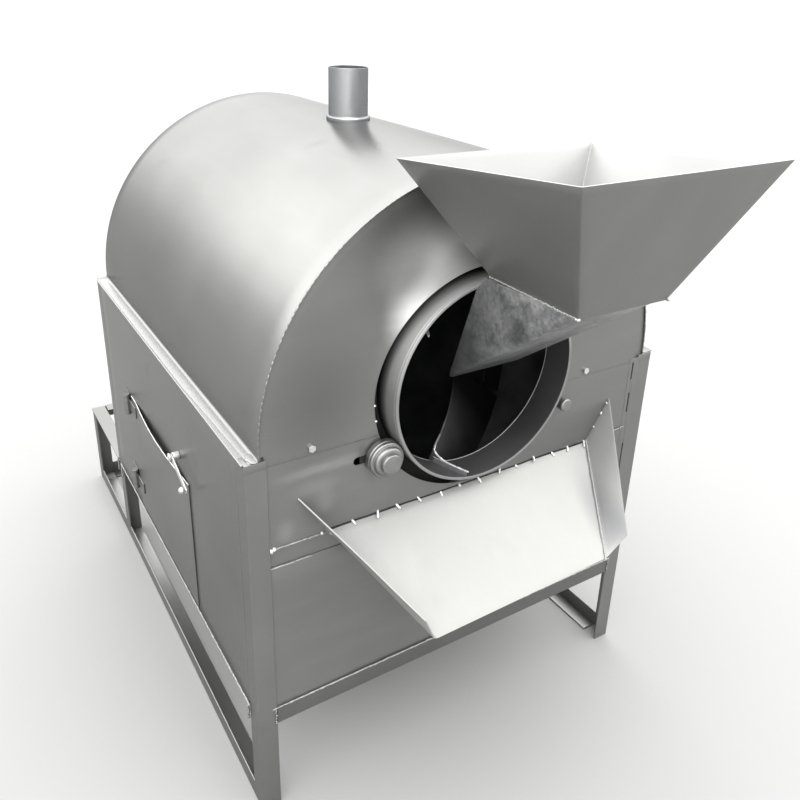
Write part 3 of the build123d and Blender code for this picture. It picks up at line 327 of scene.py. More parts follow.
# black: soot and dark joints, and painted shade in gaps and holes
sootAndShadeLook = {"dark": (0.004, 0.004, 0.004), "light": (0.012, 0.011, 0.010), "metallic": 0.0,
            "roughness": 0.8, "patch": 60.0, "grain": 400.0, "depth": 0.0001}
sootBlack = patchySteel("sootBlack", sootAndShadeLook)
railShadeFinish = paintedSteel("railSilver", railShadePaint)
barFinish = paintedSteel("barSilver", barPaint)
hoodFinish = paintedSteel("hoodSheet", hoodPaint)
plateFinish = paintedSteel("frontSheet", platePaint)
hopperFinish = paintedSteel("hopperSheet", hopperPaint, rubbedInside)
neckFinish = paintedSteel("neckSheet", neckPaint, sootyInside)
print("finishes made")


# Modelling helpers

def useOnly(piece):
    bpy.ops.object.select_all(action="DESELECT")
    piece.select_set(True)
    bpy.context.view_layer.objects.active = piece


def added(primitive, scale=(1, 1, 1), **settings):  # a new primitive, with its place and size in its mesh
    bpy.ops.object.select_all(action="DESELECT")
    primitive(**settings)
    bpy.context.object.scale = scale
    bpy.ops.object.transform_apply()
    return bpy.context.object


def startEdit(piece):
    useOnly(piece)
    bpy.ops.object.mode_set(mode="EDIT")


def endEdit():
    bpy.ops.object.mode_set(mode="OBJECT")


def pick(piece, kind, test):  # selects what passes the test, by its place or normal
    bpy.ops.mesh.select_mode(type=kind)
    bpy.ops.mesh.select_all(action="DESELECT")
    mesh = bmesh.from_edit_mesh(piece.data)
    for item in {"VERT": mesh.verts, "EDGE": mesh.edges, "FACE": mesh.faces}[kind]:
        if test(item):
            item.select_set(True)
    mesh.select_flush_mode()
    bmesh.update_edit_mesh(piece.data)


def pushOut(step):
    bpy.ops.mesh.extrude_region_move(TRANSFORM_OT_translate={"value": step})


def facesTowards(piece, axis):  # makes the faces agree, and on the whole look along the axis
    bpy.ops.mesh.select_all(action="SELECT")
    bpy.ops.mesh.normals_make_consistent(inside=False)
    mesh = bmesh.from_edit_mesh(piece.data)
    if sum(face.normal.dot(axis) for face in mesh.faces) < 0:
        bpy.ops.mesh.flip_normals()


def edgeMiddle(edge):
    return (edge.verts[0].co + edge.verts[1].co) / 2


def edgeLine(edge):
    return (edge.verts[1].co - edge.verts[0].co).normalized()


def modify(piece, kind, **settings):
    useOnly(piece)
    made = piece.modifiers.new(kind, kind)
    for key, value in settings.items():
        setattr(made, key, value)
    bpy.ops.object.modifier_apply(modifier=made.name)


def rounded(piece, width, segments=2):
    modify(piece, "BEVEL", width=width, segments=segments, limit_method="ANGLE",
           angle_limit=math.radians(32))


def shaded(piece, angle=34):
    useOnly(piece)
    bpy.ops.object.shade_smooth_by_angle(angle=math.radians(angle))


def softEdges(piece, width):
    rounded(piece, width)
    shaded(piece)
    modify(piece, "WEIGHTED_NORMAL", keep_sharp=True)


def markFaces(piece, name, share):  # a face attribute that a finish reads
    layer = piece.data.attributes.new(name, "FLOAT", "FACE")
    for face in piece.data.polygons:
        layer.data[face.index].value = share(face)


def settle(piece, name, slot, body, *stands, finish=None):
    piece.name = name
    piece.data.name = name
    piece.data.materials.clear()
    piece.data.materials.append(finish or finishes[slot])
    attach(piece, body)
    if stands:
        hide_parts(*stands)
    return piece


def newBox(low, high):
    low, high = Vector(low), Vector(high)
    return added(bpy.ops.mesh.primitive_cube_add, size=1, location=(low + high) / 2, scale=high - low)


def boxMiddle(node):
    low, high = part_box(node)
    return (low + high) / 2


turnTo = {"X": Matrix.Rotation(math.pi / 2, 4, "Y"), "Y": Matrix.Rotation(-math.pi / 2, 4, "X"),
          "Z": Matrix.Identity(4), "-Y": Matrix.Rotation(math.pi / 2, 4, "X"),
          "-X": Matrix.Rotation(-math.pi / 2, 4, "Y"), "-Z": Matrix.Rotation(math.pi, 4, "X")}


def turned(profile, foot, axis, sides=64):  # lathe work: profile is (radius, place along the axis)
    radius, place = profile[0]
    piece = added(bpy.ops.mesh.primitive_circle_add, vertices=sides, radius=radius, location=(0, 0, place))
    startEdit(piece)
    bpy.ops.mesh.select_all(action="SELECT")
    for nextRadius, nextPlace in profile[1:]:
        pushOut((0, 0, nextPlace - place))
        share = nextRadius / radius
        bpy.ops.transform.resize(value=(share, share, 1), center_override=(0, 0, nextPlace))
        radius, place = nextRadius, nextPlace
    bpy.ops.mesh.select_all(action="SELECT")
    bpy.ops.mesh.remove_doubles(threshold=1e-6)
    bpy.ops.mesh.fill_holes(sides=0)
    bpy.ops.mesh.select_all(action="SELECT")
    bpy.ops.mesh.normals_make_consistent(inside=False)
    endEdit()
    piece.data.transform(Matrix.Translation(foot) @ turnTo[axis])
    return piece


def roundProfile(corners, steps=5):  # corners are (radius, place, rounding)
    points = []
    for index, (radius, place, bend) in enumerate(corners):
        here = Vector((radius, place))
        if not bend:
            points.append(here)
            continue
        before = (Vector(corners[index - 1][:2]) - here).normalized()
        after = (Vector(corners[index + 1][:2]) - here).normalized()
        half = before.angle(after) / 2
        centre = here + (before + after).normalized() * bend / math.sin(half)
        arm = here + before * bend / math.tan(half) - centre
        sweep = arm.angle_signed(here + after * bend / math.tan(half) - centre)
        for step in range(steps + 1):
            points.append(centre + Matrix.Rotation(-sweep * step / steps, 2) @ arm)
    return [tuple(point) for point in points]


def copied(piece, place):
    other = piece.copy()
    other.data = piece.data.copy()
    other.data.transform(place)
    bpy.context.scene.collection.objects.link(other)
    return other


def joined(group):
    bpy.ops.object.select_all(action="DESELECT")
    for piece in group:
        piece.select_set(True)
    bpy.context.view_layer.objects.active = group[0]
    bpy.ops.object.join()
    return group[0]


def copyOfNode(node):  # a CAD node's shape as a piece of its own, merged
    piece = nodes[node].copy()
    piece.data = nodes[node].data.copy()
    piece.parent = None
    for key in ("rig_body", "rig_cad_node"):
        del piece[key]
    bpy.context.scene.collection.objects.link(piece)
    startEdit(piece)
    bpy.ops.mesh.select_all(action="SELECT")
    bpy.ops.mesh.remove_doubles(threshold=1e-5)
    endEdit()
    startEdit(piece)
    bpy.ops.mesh.select_all(action="SELECT")
    bpy.ops.mesh.dissolve_limited(angle_limit=math.radians(0.4))  # flat faces become one
    endEdit()
    return piece


def pieceName(node):
    first, *others = node.split("_")
    return first + "".join(word.capitalize() for word in others) + "Piece"


def softened(node, edge, finish=None):  # the CAD shape with its sharp edges rounded
    piece = copyOfNode(node)
    softEdges(piece, edge)
    return settle(piece, pieceName(node), slotOf[node], bodyOf[node], node, finish=finish)


def wavy(piece, direction, depth, size):  # the slight hollows and swells of thin hand-worked sheet
    texture = bpy.data.textures.new("sheetWave", "CLOUDS")
    texture.noise_scale = size
    texture.noise_depth = 1
    modify(piece, "DISPLACE", texture=texture, texture_coords="GLOBAL", direction=direction,
           strength=depth, mid_level=0.5)


def foldedSheet(piece, look):  # bends, a grid, slight unevenness and the sheet's thickness
    startEdit(piece)
    pick(piece, "EDGE", lambda edge: len(edge.link_faces) == 2 and edge.calc_face_angle() > 0.3)
    bpy.ops.mesh.bevel(offset=look["bend"], segments=3, affect="EDGES")
    bpy.ops.mesh.select_all(action="SELECT")
    bpy.ops.mesh.subdivide(number_cuts=look["cuts"])
    endEdit()
    wavy(piece, "NORMAL", look["wave"], look["waveSize"])
    modify(piece, "SOLIDIFY", thickness=look["sheet"], offset=-1)
    rounded(piece, look["edge"])
    shaded(piece)
    return piece


def cutAway(piece, cutter):
    modify(piece, "BOOLEAN", operation="DIFFERENCE", solver="EXACT", object=cutter)
    bpy.data.objects.remove(cutter)


# Welds: one bead is modelled, then laid along a line

bead = {"segments": 8, "rings": 5, "jitter": 0.22, "crown": 0.9, "lean": (0.18, 0, -0.12), "smooth": 60}


def oneBead():
    piece = added(bpy.ops.mesh.primitive_uv_sphere_add, segments=bead["segments"], ring_count=bead["rings"],
                  radius=1)
    startEdit(piece)
    pick(piece, "VERT", lambda vert: vert.co.z > bead["crown"])
    bpy.ops.transform.translate(value=bead["lean"])  # the ripple leans along the run
    endEdit()
    shaded(piece, bead["smooth"])
    return piece


def beadPlace(spot, along, size):
    along = along.normalized()
    across = along.orthogonal().normalized()
    turn = Matrix((along, across, along.cross(across))).transposed().to_4x4()
    stretch = [part * (1 + random.uniform(-bead["jitter"], bead["jitter"])) for part in size]
    return Matrix.Translation(spot) @ turn @ Matrix.Diagonal((*stretch, 1))


def weldRow(name, spots, size, body="cabinet", slot="frame_steel", finish=weldMetal, lines=None):
    pattern = oneBead()
    laid = []
    for index, spot in enumerate(spots):
        near = spots[index + 1] if index + 1 < len(spots) else spots[index - 1]
        along = lines[index] if lines else Vector(near) - Vector(spot)
        laid.append(copied(pattern, beadPlace(Vector(spot), along, size)))
    bpy.data.objects.remove(pattern)
    return settle(joined(laid), name, slot, body, finish=finish)


def lineOfSpots(start, end, step, wander=0.0):
    start, end = Vector(start), Vector(end)
    count = max(2, round((end - start).length / step))
    spots = []
    for index in range(count + 1):
        stray = Vector(random.uniform(-wander, wander) for axis in "XYZ")
        spots.append(start.lerp(end, index / count) + stray)
    return spots


# Places that several pieces share

drumAxis = boxMiddle("drum_shell")
midX = drumAxis.x
tiny = 1e-4  # how near a corner is to count as on a line
plateLow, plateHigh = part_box("front_end_plate")
panelFace = plateLow.y  # front face of the front panels
upright = (math.pi / 2, 0, 0)  # turns a circle to face the front
print("helpers ready")


# Hood: a half circle drawn out to a sheet, with a skirt and a flange along each side

hoodLook = {"segments": 200, "rings": 26, "sheet": 0.002, "seat": 0.0003, "bend": 0.006, "wave": 0.0022,
            "waveSize": 0.42, "edge": 0.0006, "trim": 0.005, "narrow": 0.0088, "narrowFrom": 0.33,
            "narrowTo": 0.026, "seamBeads": 118}


def hoodSheet():
    low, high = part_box("hood")
    radius = (plateHigh.x - plateLow.x) / 2 + hoodLook["sheet"] + hoodLook["seat"]
    springZ = high.z - radius
    flangeZ = low.z + hoodLook["sheet"]
    piece = added(bpy.ops.mesh.primitive_circle_add, vertices=hoodLook["segments"], radius=radius,
                  location=(midX, low.y, springZ), rotation=upright)
    startEdit(piece)
    pick(piece, "VERT", lambda vert: vert.co.z < springZ + tiny)
    bpy.ops.mesh.delete(type="VERT")
    step = 2 * math.pi / hoodLook["segments"]
    firstZ, reach = springZ + radius * math.sin(step), radius * math.cos(step)
    pick(piece, "VERT", lambda vert: vert.co.z < firstZ + tiny)
    pushOut((0, 0, flangeZ - firstZ))
    for side, edge in ((-1, low.x), (1, high.x)):
        foot = midX + side * reach
        pick(piece, "VERT", lambda vert: vert.co.z < flangeZ + tiny and abs(vert.co.x - foot) < tiny)
        pushOut((edge - foot, 0, 0))
    bpy.ops.mesh.select_all(action="SELECT")
    for ring in range(hoodLook["rings"]):
        pushOut((0, (high.y - low.y) / hoodLook["rings"], 0))
    narrowRun = hoodLook["narrowFrom"] - hoodLook["narrowTo"]
    for vert in bmesh.from_edit_mesh(piece.data).verts:
        if vert.co.x < low.x + tiny:  # the left flange was cut narrower towards the front
            share = (hoodLook["narrowFrom"] - vert.co.y + low.y) / narrowRun
            vert.co.x += hoodLook["trim"] + hoodLook["narrow"] * min(1, max(0, share))
    pick(piece, "EDGE", lambda edge: abs(edgeLine(edge).y) > 0.9 and edgeMiddle(edge).z < flangeZ + tiny
         and abs(abs(edgeMiddle(edge).x - midX) - reach) < tiny)
    bpy.ops.mesh.bevel(offset=hoodLook["bend"], segments=6, affect="EDGES")
    facesTowards(piece, Vector((0, 0, 1)))
    endEdit()
    wavy(piece, "NORMAL", hoodLook["wave"], hoodLook["waveSize"])
    modify(piece, "SOLIDIFY", thickness=hoodLook["sheet"], offset=-1)
    rounded(piece, hoodLook["edge"])
    shaded(piece)
    return settle(piece, "hoodSheet", "silver_sheet", "cabinet", "hood", finish=hoodFinish)


hoodSheet()
print("hood done")


# Flat panels: a plate with a fine grid on both faces, so that it can be slightly hollow

panelLook = {"cell": 0.045, "wave": 0.0016, "waveSize": 0.30, "edge": 0.0005, "drill": 0.06, "inlet": 0.0135,
             "doorLap": 0.014, "doorCut": 0.05}  # doorLap: how far the door covers its opening's rim


def griddedPlate(low, high, flat):
    piece = newBox(low, high)
    startEdit(piece)
    for axis in range(3):
        if axis != flat:
            length = high[axis] - low[axis]
            pick(piece, "EDGE", lambda edge: abs(edgeLine(edge)[axis]) > 0.99)
            bpy.ops.mesh.subdivide(number_cuts=max(1, round(length / panelLook["cell"])))
    endEdit()
    return piece


def sheetDone(piece, name, node, flat, finish=None):
    wavy(piece, "XYZ"[flat], panelLook["wave"], panelLook["waveSize"])
    rounded(piece, panelLook["edge"])
    shaded(piece)
    return settle(piece, name, slotOf[node], bodyOf[node], node, finish=finish)


def flatPanel(node, name, flat, cutter=None):
    piece = griddedPlate(*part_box(node), flat)
    if cutter:
        cutAway(piece, cutter)
    return sheetDone(piece, name, node, flat)


def drillBit(radius, spot, axis, sides=24):
    return turned([(radius, -panelLook["drill"]), (radius, panelLook["drill"])], spot, axis, sides)


def doorOpening():
    low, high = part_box("access_door")
    rim = Vector((-panelLook["doorCut"], panelLook["doorLap"], panelLook["doorLap"]))
    return newBox(low + rim, high - rim)


def gasInlet():
    cock = boxMiddle("gas_cock")
    return drillBit(panelLook["inlet"], (cock.x, boxMiddle("rear_panel").y, cock.z), "Y")


flatPanel("left_side_panel", "leftSidePanel", 0, doorOpening())
flatPanel("right_side_panel", "rightSidePanel", 0)
flatPanel("rear_panel", "rearPanel", 1, gasInlet())
print("flat panels done")


# Front plates: the end plate is drawn ring by ring from the mouth out to the hood's arch

mouthLook = {"sides": 240, "radius": 0.228, "depth": 0.06}
plateLook = {"rings": (0.2295, 0.232, 0.236, 0.241, 0.247, 0.254, 0.262, 0.271, 0.281, 0.292), "cuts": 6,
             "flare": 0.014, "flareSide": 0.012, "flareTop": 0.057, "bow": 1.6}
slotLook = {"reach": 0.0485, "width": 0.0165, "sides": 14}
postSlots = {"width": 0.003, "front": 0.02, "depth": 0.0035,
             "spans": (  # each slot's x, foot and top
                 (0.4337, 0.746, 0.788), (0.4346, 0.665, 0.714), (0.4380, 0.512, 0.584))}


def mouthCutter():
    return drillBit(mouthLook["radius"], (midX, panelFace, drumAxis.z), "Y", mouthLook["sides"])


def mouthFlare(spot):  # the sheet swells outwards to the upper rim of the mouth
    arm = Vector((spot.x - midX, spot.z - drumAxis.z))
    rise = max(0.0, arm.y / arm.length)
    reach = plateLook["flareSide"] + (plateLook["flareTop"] - plateLook["flareSide"]) * rise ** 2
    share = max(0.0, 1 - (arm.length - mouthLook["radius"]) / reach)
    return plateLook["flare"] * share ** plateLook["bow"] * rise ** 2 * (3 - 2 * rise)


def rollerSlot():  # the rough slot that the left roller's axle was set through
    centre = boxMiddle("left_roller_axle")
    half = slotLook["width"] / 2
    far = Vector((centre.x - slotLook["reach"], panelFace, centre.z))
    near = Vector((centre.x, panelFace, centre.z))
    bar = newBox(far - Vector((0, mouthLook["depth"], half)), near + Vector((0, mouthLook["depth"], half)))
    for spot in (far, near):
        end = drillBit(half, spot, "Y", slotLook["sides"])
        modify(bar, "BOOLEAN", operation="UNION", solver="EXACT", object=end)
        bpy.data.objects.remove(end)
    return bar


def cutPostSlots(piece):  # where the sheets don't quite reach the right post
    for x, foot, top in postSlots["spans"]:
        half = postSlots["width"] / 2
        cutAway(piece, newBox((x - half, panelFace - postSlots["front"], foot),
                              (x + half, panelFace + postSlots["depth"], top)))


def frontEndPlate():
    radius = (plateHigh.x - plateLow.x) / 2
    mouth = Vector((midX, panelFace, drumAxis.z))
    arch = Vector((midX, panelFace, plateHigh.z - radius))
    piece = added(bpy.ops.mesh.primitive_circle_add, vertices=mouthLook["sides"], radius=mouthLook["radius"],
                  location=mouth, rotation=upright)
    startEdit(piece)
    bpy.ops.mesh.select_all(action="SELECT")
    last = mouthLook["radius"]
    for ring in plateLook["rings"]:
        pushOut((0, 0, 0))
        bpy.ops.transform.resize(value=(ring / last, 1, ring / last), center_override=mouth)
        last = ring
    bpy.ops.mesh.primitive_circle_add(vertices=mouthLook["sides"], radius=radius, location=arch,
                                      rotation=upright)

    def onRing(vert):
        return abs((vert.co - mouth).length - last) < tiny or abs((vert.co - arch).length - radius) < tiny

    pick(piece, "EDGE", lambda edge: onRing(edge.verts[0]) and onRing(edge.verts[1]))
    bpy.ops.mesh.bridge_edge_loops(number_cuts=plateLook["cuts"], interpolation="LINEAR")
    bpy.ops.mesh.select_all(action="SELECT")
    bpy.ops.mesh.bisect(plane_co=plateLow, plane_no=(0, 0, 1), clear_inner=True)
    facesTowards(piece, Vector((0, -1, 0)))
    for vert in bmesh.from_edit_mesh(piece.data).verts:
        vert.co.y -= mouthFlare(vert.co)
    bmesh.update_edit_mesh(piece.data)
    endEdit()
    modify(piece, "SOLIDIFY", thickness=plateHigh.y - plateLow.y, offset=-1)
    return sheetDone(piece, "frontEndPlate", "front_end_plate", 1, plateFinish)


def frontPanel(node, name, *cutters):
    piece = griddedPlate(*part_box(node), 1)
    for cutter in cutters:
        cutAway(piece, cutter)
    cutPostSlots(piece)
    return sheetDone(piece, name, node, 1, plateFinish)


frontEndPlate()
frontPanel("middle_front_panel", "middleFrontPanel", mouthCutter(), rollerSlot())
frontPanel("lower_front_panel", "lowerFrontPanel")
print("front plates done")


# Angle iron, flat bars and small fittings keep the CAD shape with rounded edges

roundedNodes = {
    "corner_posts": 0.0014, "base_side_rails": 0.0014, "bed_side_rails": 0.0014, "bed_end_legs": 0.0014,
    "floor_rails": 0.0014, "cross_rails": 0.0014, "top_side_rails": 0.0014, "front_crossbar": 0.0012,
    "seam_straps": 0.0008, "roller_brackets": 0.0008, "hopper_brackets": 0.001, "burner_supports": 0.0012,
    "bearing_uprights": 0.0014, "bearing_plate": 0.0014, "drive_base": 0.0014, "rear_end_plate": 0.0005,
    "access_door": 0.0005, "door_hinge_straps": 0.0008, "door_hinge_lugs": 0.0008, "latch_pivot": 0.0012,
    "door_latch": 0.0008, "seam_bolts": 0.0012, "hopper_bolts": 0.0012, "bearing_bolts": 0.0012,
    "gearbox_bolts": 0.001, "drum_shaft": 0.0015, "right_roller": 0.0015,
    "bearing_housing": 0.0025, "driven_sprocket": 0.0006, "drive_sprocket": 0.0006,
    "gearbox": 0.003, "motor": 0.0008, "motor_fan_cover": 0.0008, "terminal_box": 0.0025,
    "burner_tubes": 0.001, "burner_manifold": 0.001, "gas_cock": 0.0008, "gas_cock_lever": 0.0012,
}
ownFinish = {  # painted over; some with a painted highlight, some with painted shade
    "door_hinge_straps": finishes["frame_steel"], "door_hinge_lugs": finishes["frame_steel"],
    "access_door": paintedSteel("doorSilver", doorPaint),  # painted highlight along its top
    # painted shade: the base rails, and the roller brackets black behind the slot
    "front_crossbar": plateFinish, "base_side_rails": railShadeFinish, "roller_brackets": sootBlack,
    "cross_rails": barFinish, "bed_side_rails": barFinish, "bed_end_legs": barFinish,
    # painted shade: the drum's front plate black in the gap behind the mouth; painted highlight on the top
    # rails
    "drum_front_plate": sootBlack, "top_side_rails": paintedSteel("topRailSilver", topRailPaint),
}


for nodeName, edgeWidth in roundedNodes.items():
    softened(nodeName, edgeWidth, ownFinish.get(nodeName))
print("rounded pieces done")


# Flights: free edges pale from the nuts' wear and a painted highlight, with painted shade deeper in the drum

flightLook = {"dark": (0.105, 0.105, 0.108), "light": (0.25, 0.25, 0.253), "worn": (0.85, 0.85, 0.84),
              "metallic": 0.8, "wornMetallic": 0.2, "roughness": 0.32, "patch": 18.0, "grain": 240.0,
              # fade and deep: painted shade, darker deeper into the drum
              "depth": 0.0003, "fade": (-0.355, -0.265), "deep": (0.018, 0.018, 0.019),
              "edge": 0.0005, "inwards": -0.45, "wornFrom": -0.44, "wornTo": -0.33, "wornLeast": 0.12}
flightFinish = wearAndHighlightEdges("flightSteel", flightLook)


def fromAxis(spot):
    return Vector((spot.x - midX, 0, spot.z - drumAxis.z))


def freeEdgeWearAndHighlight(face):  # the faces that look inwards, less and less into the drum: wear and a painted highlight
    look = flightLook
    deep = (face.center.y - look["wornFrom"]) / (look["wornTo"] - look["wornFrom"])
    inwards = face.normal.dot(fromAxis(face.center).normalized()) < look["inwards"]
    return inwards * min(1, max(look["wornLeast"], 1 - deep))


def flightsWithWearAndHighlight(node):
    piece = softened(node, flightLook["edge"], flightFinish)
    markFaces(piece, "wornEdge", freeEdgeWearAndHighlight)


flightEdge = {"inner": 0.1695, "neck": 0.1875, "fold": -0.4462, "neckFrom": -0.455, "start": -113.0,
              "flights": 3, "drumTurn": 338.3, "neckTurn": -187.1,  # turns in degrees per metre
              "drumPlaces": (-0.36, -0.38, -0.40, -0.42, -0.44), "corner": -0.453, "cornerTurn": 1,
              "neckPlaces": (-0.475, -0.495, -0.517), "apart": 0.05, "size": (0.0042, 0.0022, 0.0022),
              "bright": 0.5, "dull": 0.1, "brightBelow": 0.1, "brightTo": -0.40}


def edgePlace(radius, y, turn):
    arm = Vector((math.cos(math.radians(turn)), 0, math.sin(math.radians(turn))))
    return Vector((midX, y, drumAxis.z)) + radius * arm


def cornersCut(path):  # rounds a line of places by cutting each corner
    cut = [path[0]]
    for here, there in zip(path, path[1:]):
        cut += [here.lerp(there, 0.25), here.lerp(there, 0.75)]
    return cut + [path[-1]]


def flightEdges():  # the rolled edge of each discharge flight, pale down to the lip from wear and a painted highlight
    look = flightEdge
    spots = []
    for flight in range(look["flights"]):
        start = look["start"] + 360 / look["flights"] * flight
        path = [edgePlace(look["inner"], y, start + (y - look["fold"]) * look["drumTurn"])
                for y in look["drumPlaces"]]
        path.append(edgePlace((look["inner"] + look["neck"]) / 2, look["corner"], start - look["cornerTurn"]))
        path += [edgePlace(look["neck"], y, start + (y - look["neckFrom"]) * look["neckTurn"])
                 for y in look["neckPlaces"]]
        spots += cornersCut(cornersCut(cornersCut(path)))
    lines = [there - here for here, there in zip(spots, spots[1:])]
    for index, line in enumerate(lines):
        if line.length > look["apart"]:  # from one flight to the next
            lines[index] = lines[index - 1]
    piece = weldRow("flightEdges", spots, look["size"], "drum", slotOf["discharge_scoops"], flightFinish,
                    lines + lines[-1:])

    def rubbed(face):  # painted highlight: palest on the low edges near the mouth, where the light falls
        low = face.center.z < drumAxis.z - look["brightBelow"]
        return look["bright"] if low and face.center.y < look["brightTo"] else look["dull"]

    markFaces(piece, "wornEdge", rubbed)


flightsWithWearAndHighlight("discharge_scoops")
flightsWithWearAndHighlight("mixing_flights")
flightEdges()
print("flights done")


# Flue: the pipe with a fat weld round its foot

flueLook = {"weld": 0.0046, "foot": 0.0075, "near": 0.0006, "edge": 0.0006}
flueFinish = paintedSteel("flueSheet", fluePaint)


def fluePipe():
    piece = copyOfNode("flue")
    low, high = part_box("flue")
    axis = boxMiddle("flue")
    collar = (high.x - low.x) / 2

    def collarRim(edge):
        middle = edgeMiddle(edge)
        out = math.hypot(middle.x - axis.x, middle.y - axis.y)
        level = abs(edgeLine(edge).z) < 0.5
        return level and middle.z > low.z + flueLook["foot"] and abs(out - collar) < flueLook["near"]

    startEdit(piece)
    pick(piece, "EDGE", collarRim)
    bpy.ops.mesh.bevel(offset=flueLook["weld"], segments=5, affect="EDGES")
    endEdit()
    softEdges(piece, flueLook["edge"])
    return settle(piece, "fluePipe", slotOf["flue"], bodyOf["flue"], "flue", finish=flueFinish)


fluePipe()


# Drum neck: painted outside, with a painted highlight on top and painted shade back into the gap, sooty
# inside, with a bead turned behind its lip

neckLook = {"wall": 0.0065, "lip": 0.0016, "sides": 160, "beadFrom": 0.0042, "beadTo": 0.0072,
            "beadDepth": 0.001, "beadSlope": 0.0007, "rubbed": 0.0022, "rubbedOut": 0.0005,
            "rubbedSlope": 0.0004, "insideSkin": 0.0008}


def drumNeck():
    low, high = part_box("drum_neck")
    outer = (high.x - low.x) / 2
    inner = outer - neckLook["wall"]
    lip = neckLook["lip"]
    groove = outer - neckLook["beadDepth"]
    start, end, slope = low.y + neckLook["beadFrom"], low.y + neckLook["beadTo"], neckLook["beadSlope"]
    profile = roundProfile([(inner, high.y, 0), (inner, low.y, lip), (outer, low.y, lip), (outer, start, 0),
                            (groove, start + slope, 0), (groove, end - slope, 0), (outer, end, 0),
                            (outer, high.y, 0), (inner, high.y, 0)])
    piece = turned(profile, (midX, 0, drumAxis.z), "Y", neckLook["sides"])
    shaded(piece)
    skin = inner + neckLook["insideSkin"]
    markFaces(piece, "bareInside", lambda face: float(fromAxis(face.center).length < skin))
    return settle(piece, "drumNeck", "drum_steel", "drum", "drum_neck", finish=neckFinish)


def neckRearEdge():  # rubbed bright where the nuts drop into the neck
    low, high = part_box("drum_neck")
    inner = (high.x - low.x) / 2 - neckLook["wall"]
    edge = inner - neckLook["rubbedOut"]
    start, slope = high.y - neckLook["rubbed"], neckLook["rubbedSlope"]
    profile = [(inner, high.y), (edge, high.y - slope), (edge, start + slope), (inner, start),
               (inner, high.y)]
    piece = turned(profile, (midX, 0, drumAxis.z), "Y", neckLook["sides"])
    shaded(piece)
    return settle(piece, "neckRearEdge", "drum_steel", "drum", finish=finishes["turned_steel"])


drumNeck()
neckRearEdge()


# Support rollers and their axles, turned from bar

rollerLook = {"sides": 72, "boss": 0.029, "bossLength": 0.009, "bore": 0.01005, "rimRound": 0.003,
              "bossRound": 0.0055, "step": 0.0008, "line": 0.0085, "lineDepth": 0.0013}
axleLook = {"sides": 48, "pin": 0.010, "nut": 0.016, "nutLength": 0.006, "headRound": 0.0028,
            "leftHead": 0.008, "rightHead": 0.026, "rightHeadRadius": 0.014}


def leftRoller():
    low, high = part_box("left_roller")
    rim, bore, boss = (high.x - low.x) / 2, rollerLook["bore"], rollerLook["boss"]
    shoulder = low.y + rollerLook["bossLength"]
    line, deep = shoulder + rollerLook["line"], rollerLook["lineDepth"]  # one turned line round the rim
    profile = roundProfile([
        (bore, high.y, 0), (rim, high.y, rollerLook["rimRound"]),
        (rim, line + deep, 0), (rim - deep, line, 0), (rim, line - deep, 0),
        (rim, shoulder, rollerLook["rimRound"]), (boss, shoulder, rollerLook["step"]),
        (boss, low.y, rollerLook["bossRound"]), (bore, low.y, 0), (bore, high.y, 0)])
    axis = boxMiddle("left_roller")
    piece = turned(profile, (axis.x, 0, axis.z), "Y", rollerLook["sides"])
    shaded(piece)
    return settle(piece, "leftRoller", "turned_steel", "left_roller", "left_roller")


def rollerAxle(node, name, headRadius, headLength):
    low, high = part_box(node)
    nutFront = high.y - axleLook["nutLength"]
    profile = roundProfile([
        (headRadius / 4, low.y, 0), (headRadius, low.y, axleLook["headRound"]),
        (headRadius, low.y + headLength, 0), (axleLook["pin"], low.y + headLength, 0),
        (axleLook["pin"], nutFront, 0), (axleLook["nut"], nutFront, 0), (axleLook["nut"], high.y, 0)])
    axis = boxMiddle(node)
    piece = turned(profile, (axis.x, 0, axis.z), "Y", axleLook["sides"])
    shaded(piece)
    return settle(piece, name, "turned_steel", bodyOf[node], node)


leftRoller()
axleLow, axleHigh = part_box("left_roller_axle")
rollerAxle("left_roller_axle", "leftRollerAxle", (axleHigh.x - axleLow.x) / 2, axleLook["leftHead"])
rollerAxle("right_roller_axle", "rightRollerAxle", axleLook["rightHeadRadius"], axleLook["rightHead"])
print("neck and rollers done")


# Hopper, spout and chute: folded sheet, a little uneven

hopperLook = {"cuts": 16, "wave": 0.0016, "waveSize": 0.26, "sheet": 0.0013, "edge": 0.0003, "bend": 0.002,
              "rimFall": 0.035, "footRise": 0.006, "frontLean": 0.082, "rearLean": 0.080,
              "frontFoot": 0.4187, "rearFoot": 0.4576}  # the foot's widths as shares of the rim's
hopperSkew = {  # by corner, right or left, rear or front, rim or foot: the hand-cut sheets aren't quite even
    (-1, -1, 1): (0.004, -0.008, 0), (1, -1, 1): (0.0085, -0.006, 0), (-1, 1, 1): (-0.008, 0.003, 0),
    (1, 1, 1): (-0.006, -0.003, 0), (-1, 1, -1): (0.018, -0.001, 0), (-1, -1, -1): (-0.003, -0.002, 0),
    (1, -1, -1): (0.005, -0.005, 0)}
spoutLook = {"cuts": 8, "wave": 0.0014, "waveSize": 0.12, "sheet": 0.0025, "edge": 0.0006, "bend": 0.009,
             "least": 0.004, "skin": 0.0005}  # least: smaller faces are the sheet's edges
chuteLook = {"cuts": 15, "wave": 0.0026, "waveSize": 0.20, "sheet": 0.0025, "edge": 0.0006, "bend": 0.006,
             "joint": 0.093,  # how far below the top the tray meets the panel
             "half": 0.320, "past": 0.01, "slope": 1.3}  # the tray slopes, so its skin is deeper upright
chuteSides = {  # left and right: half widths, the lip's lift, and each wall's lean and height
    -1: {"back": 0.320, "lip": 0.207, "lift": -0.006, "backWall": (0.0577, 0.089), "lipWall": (0.022, 0.053)},
    1: {"back": 0.308, "lip": 0.209, "lift": 0.0036, "backWall": (0.057, 0.094), "lipWall": (0.054, 0.036)}}
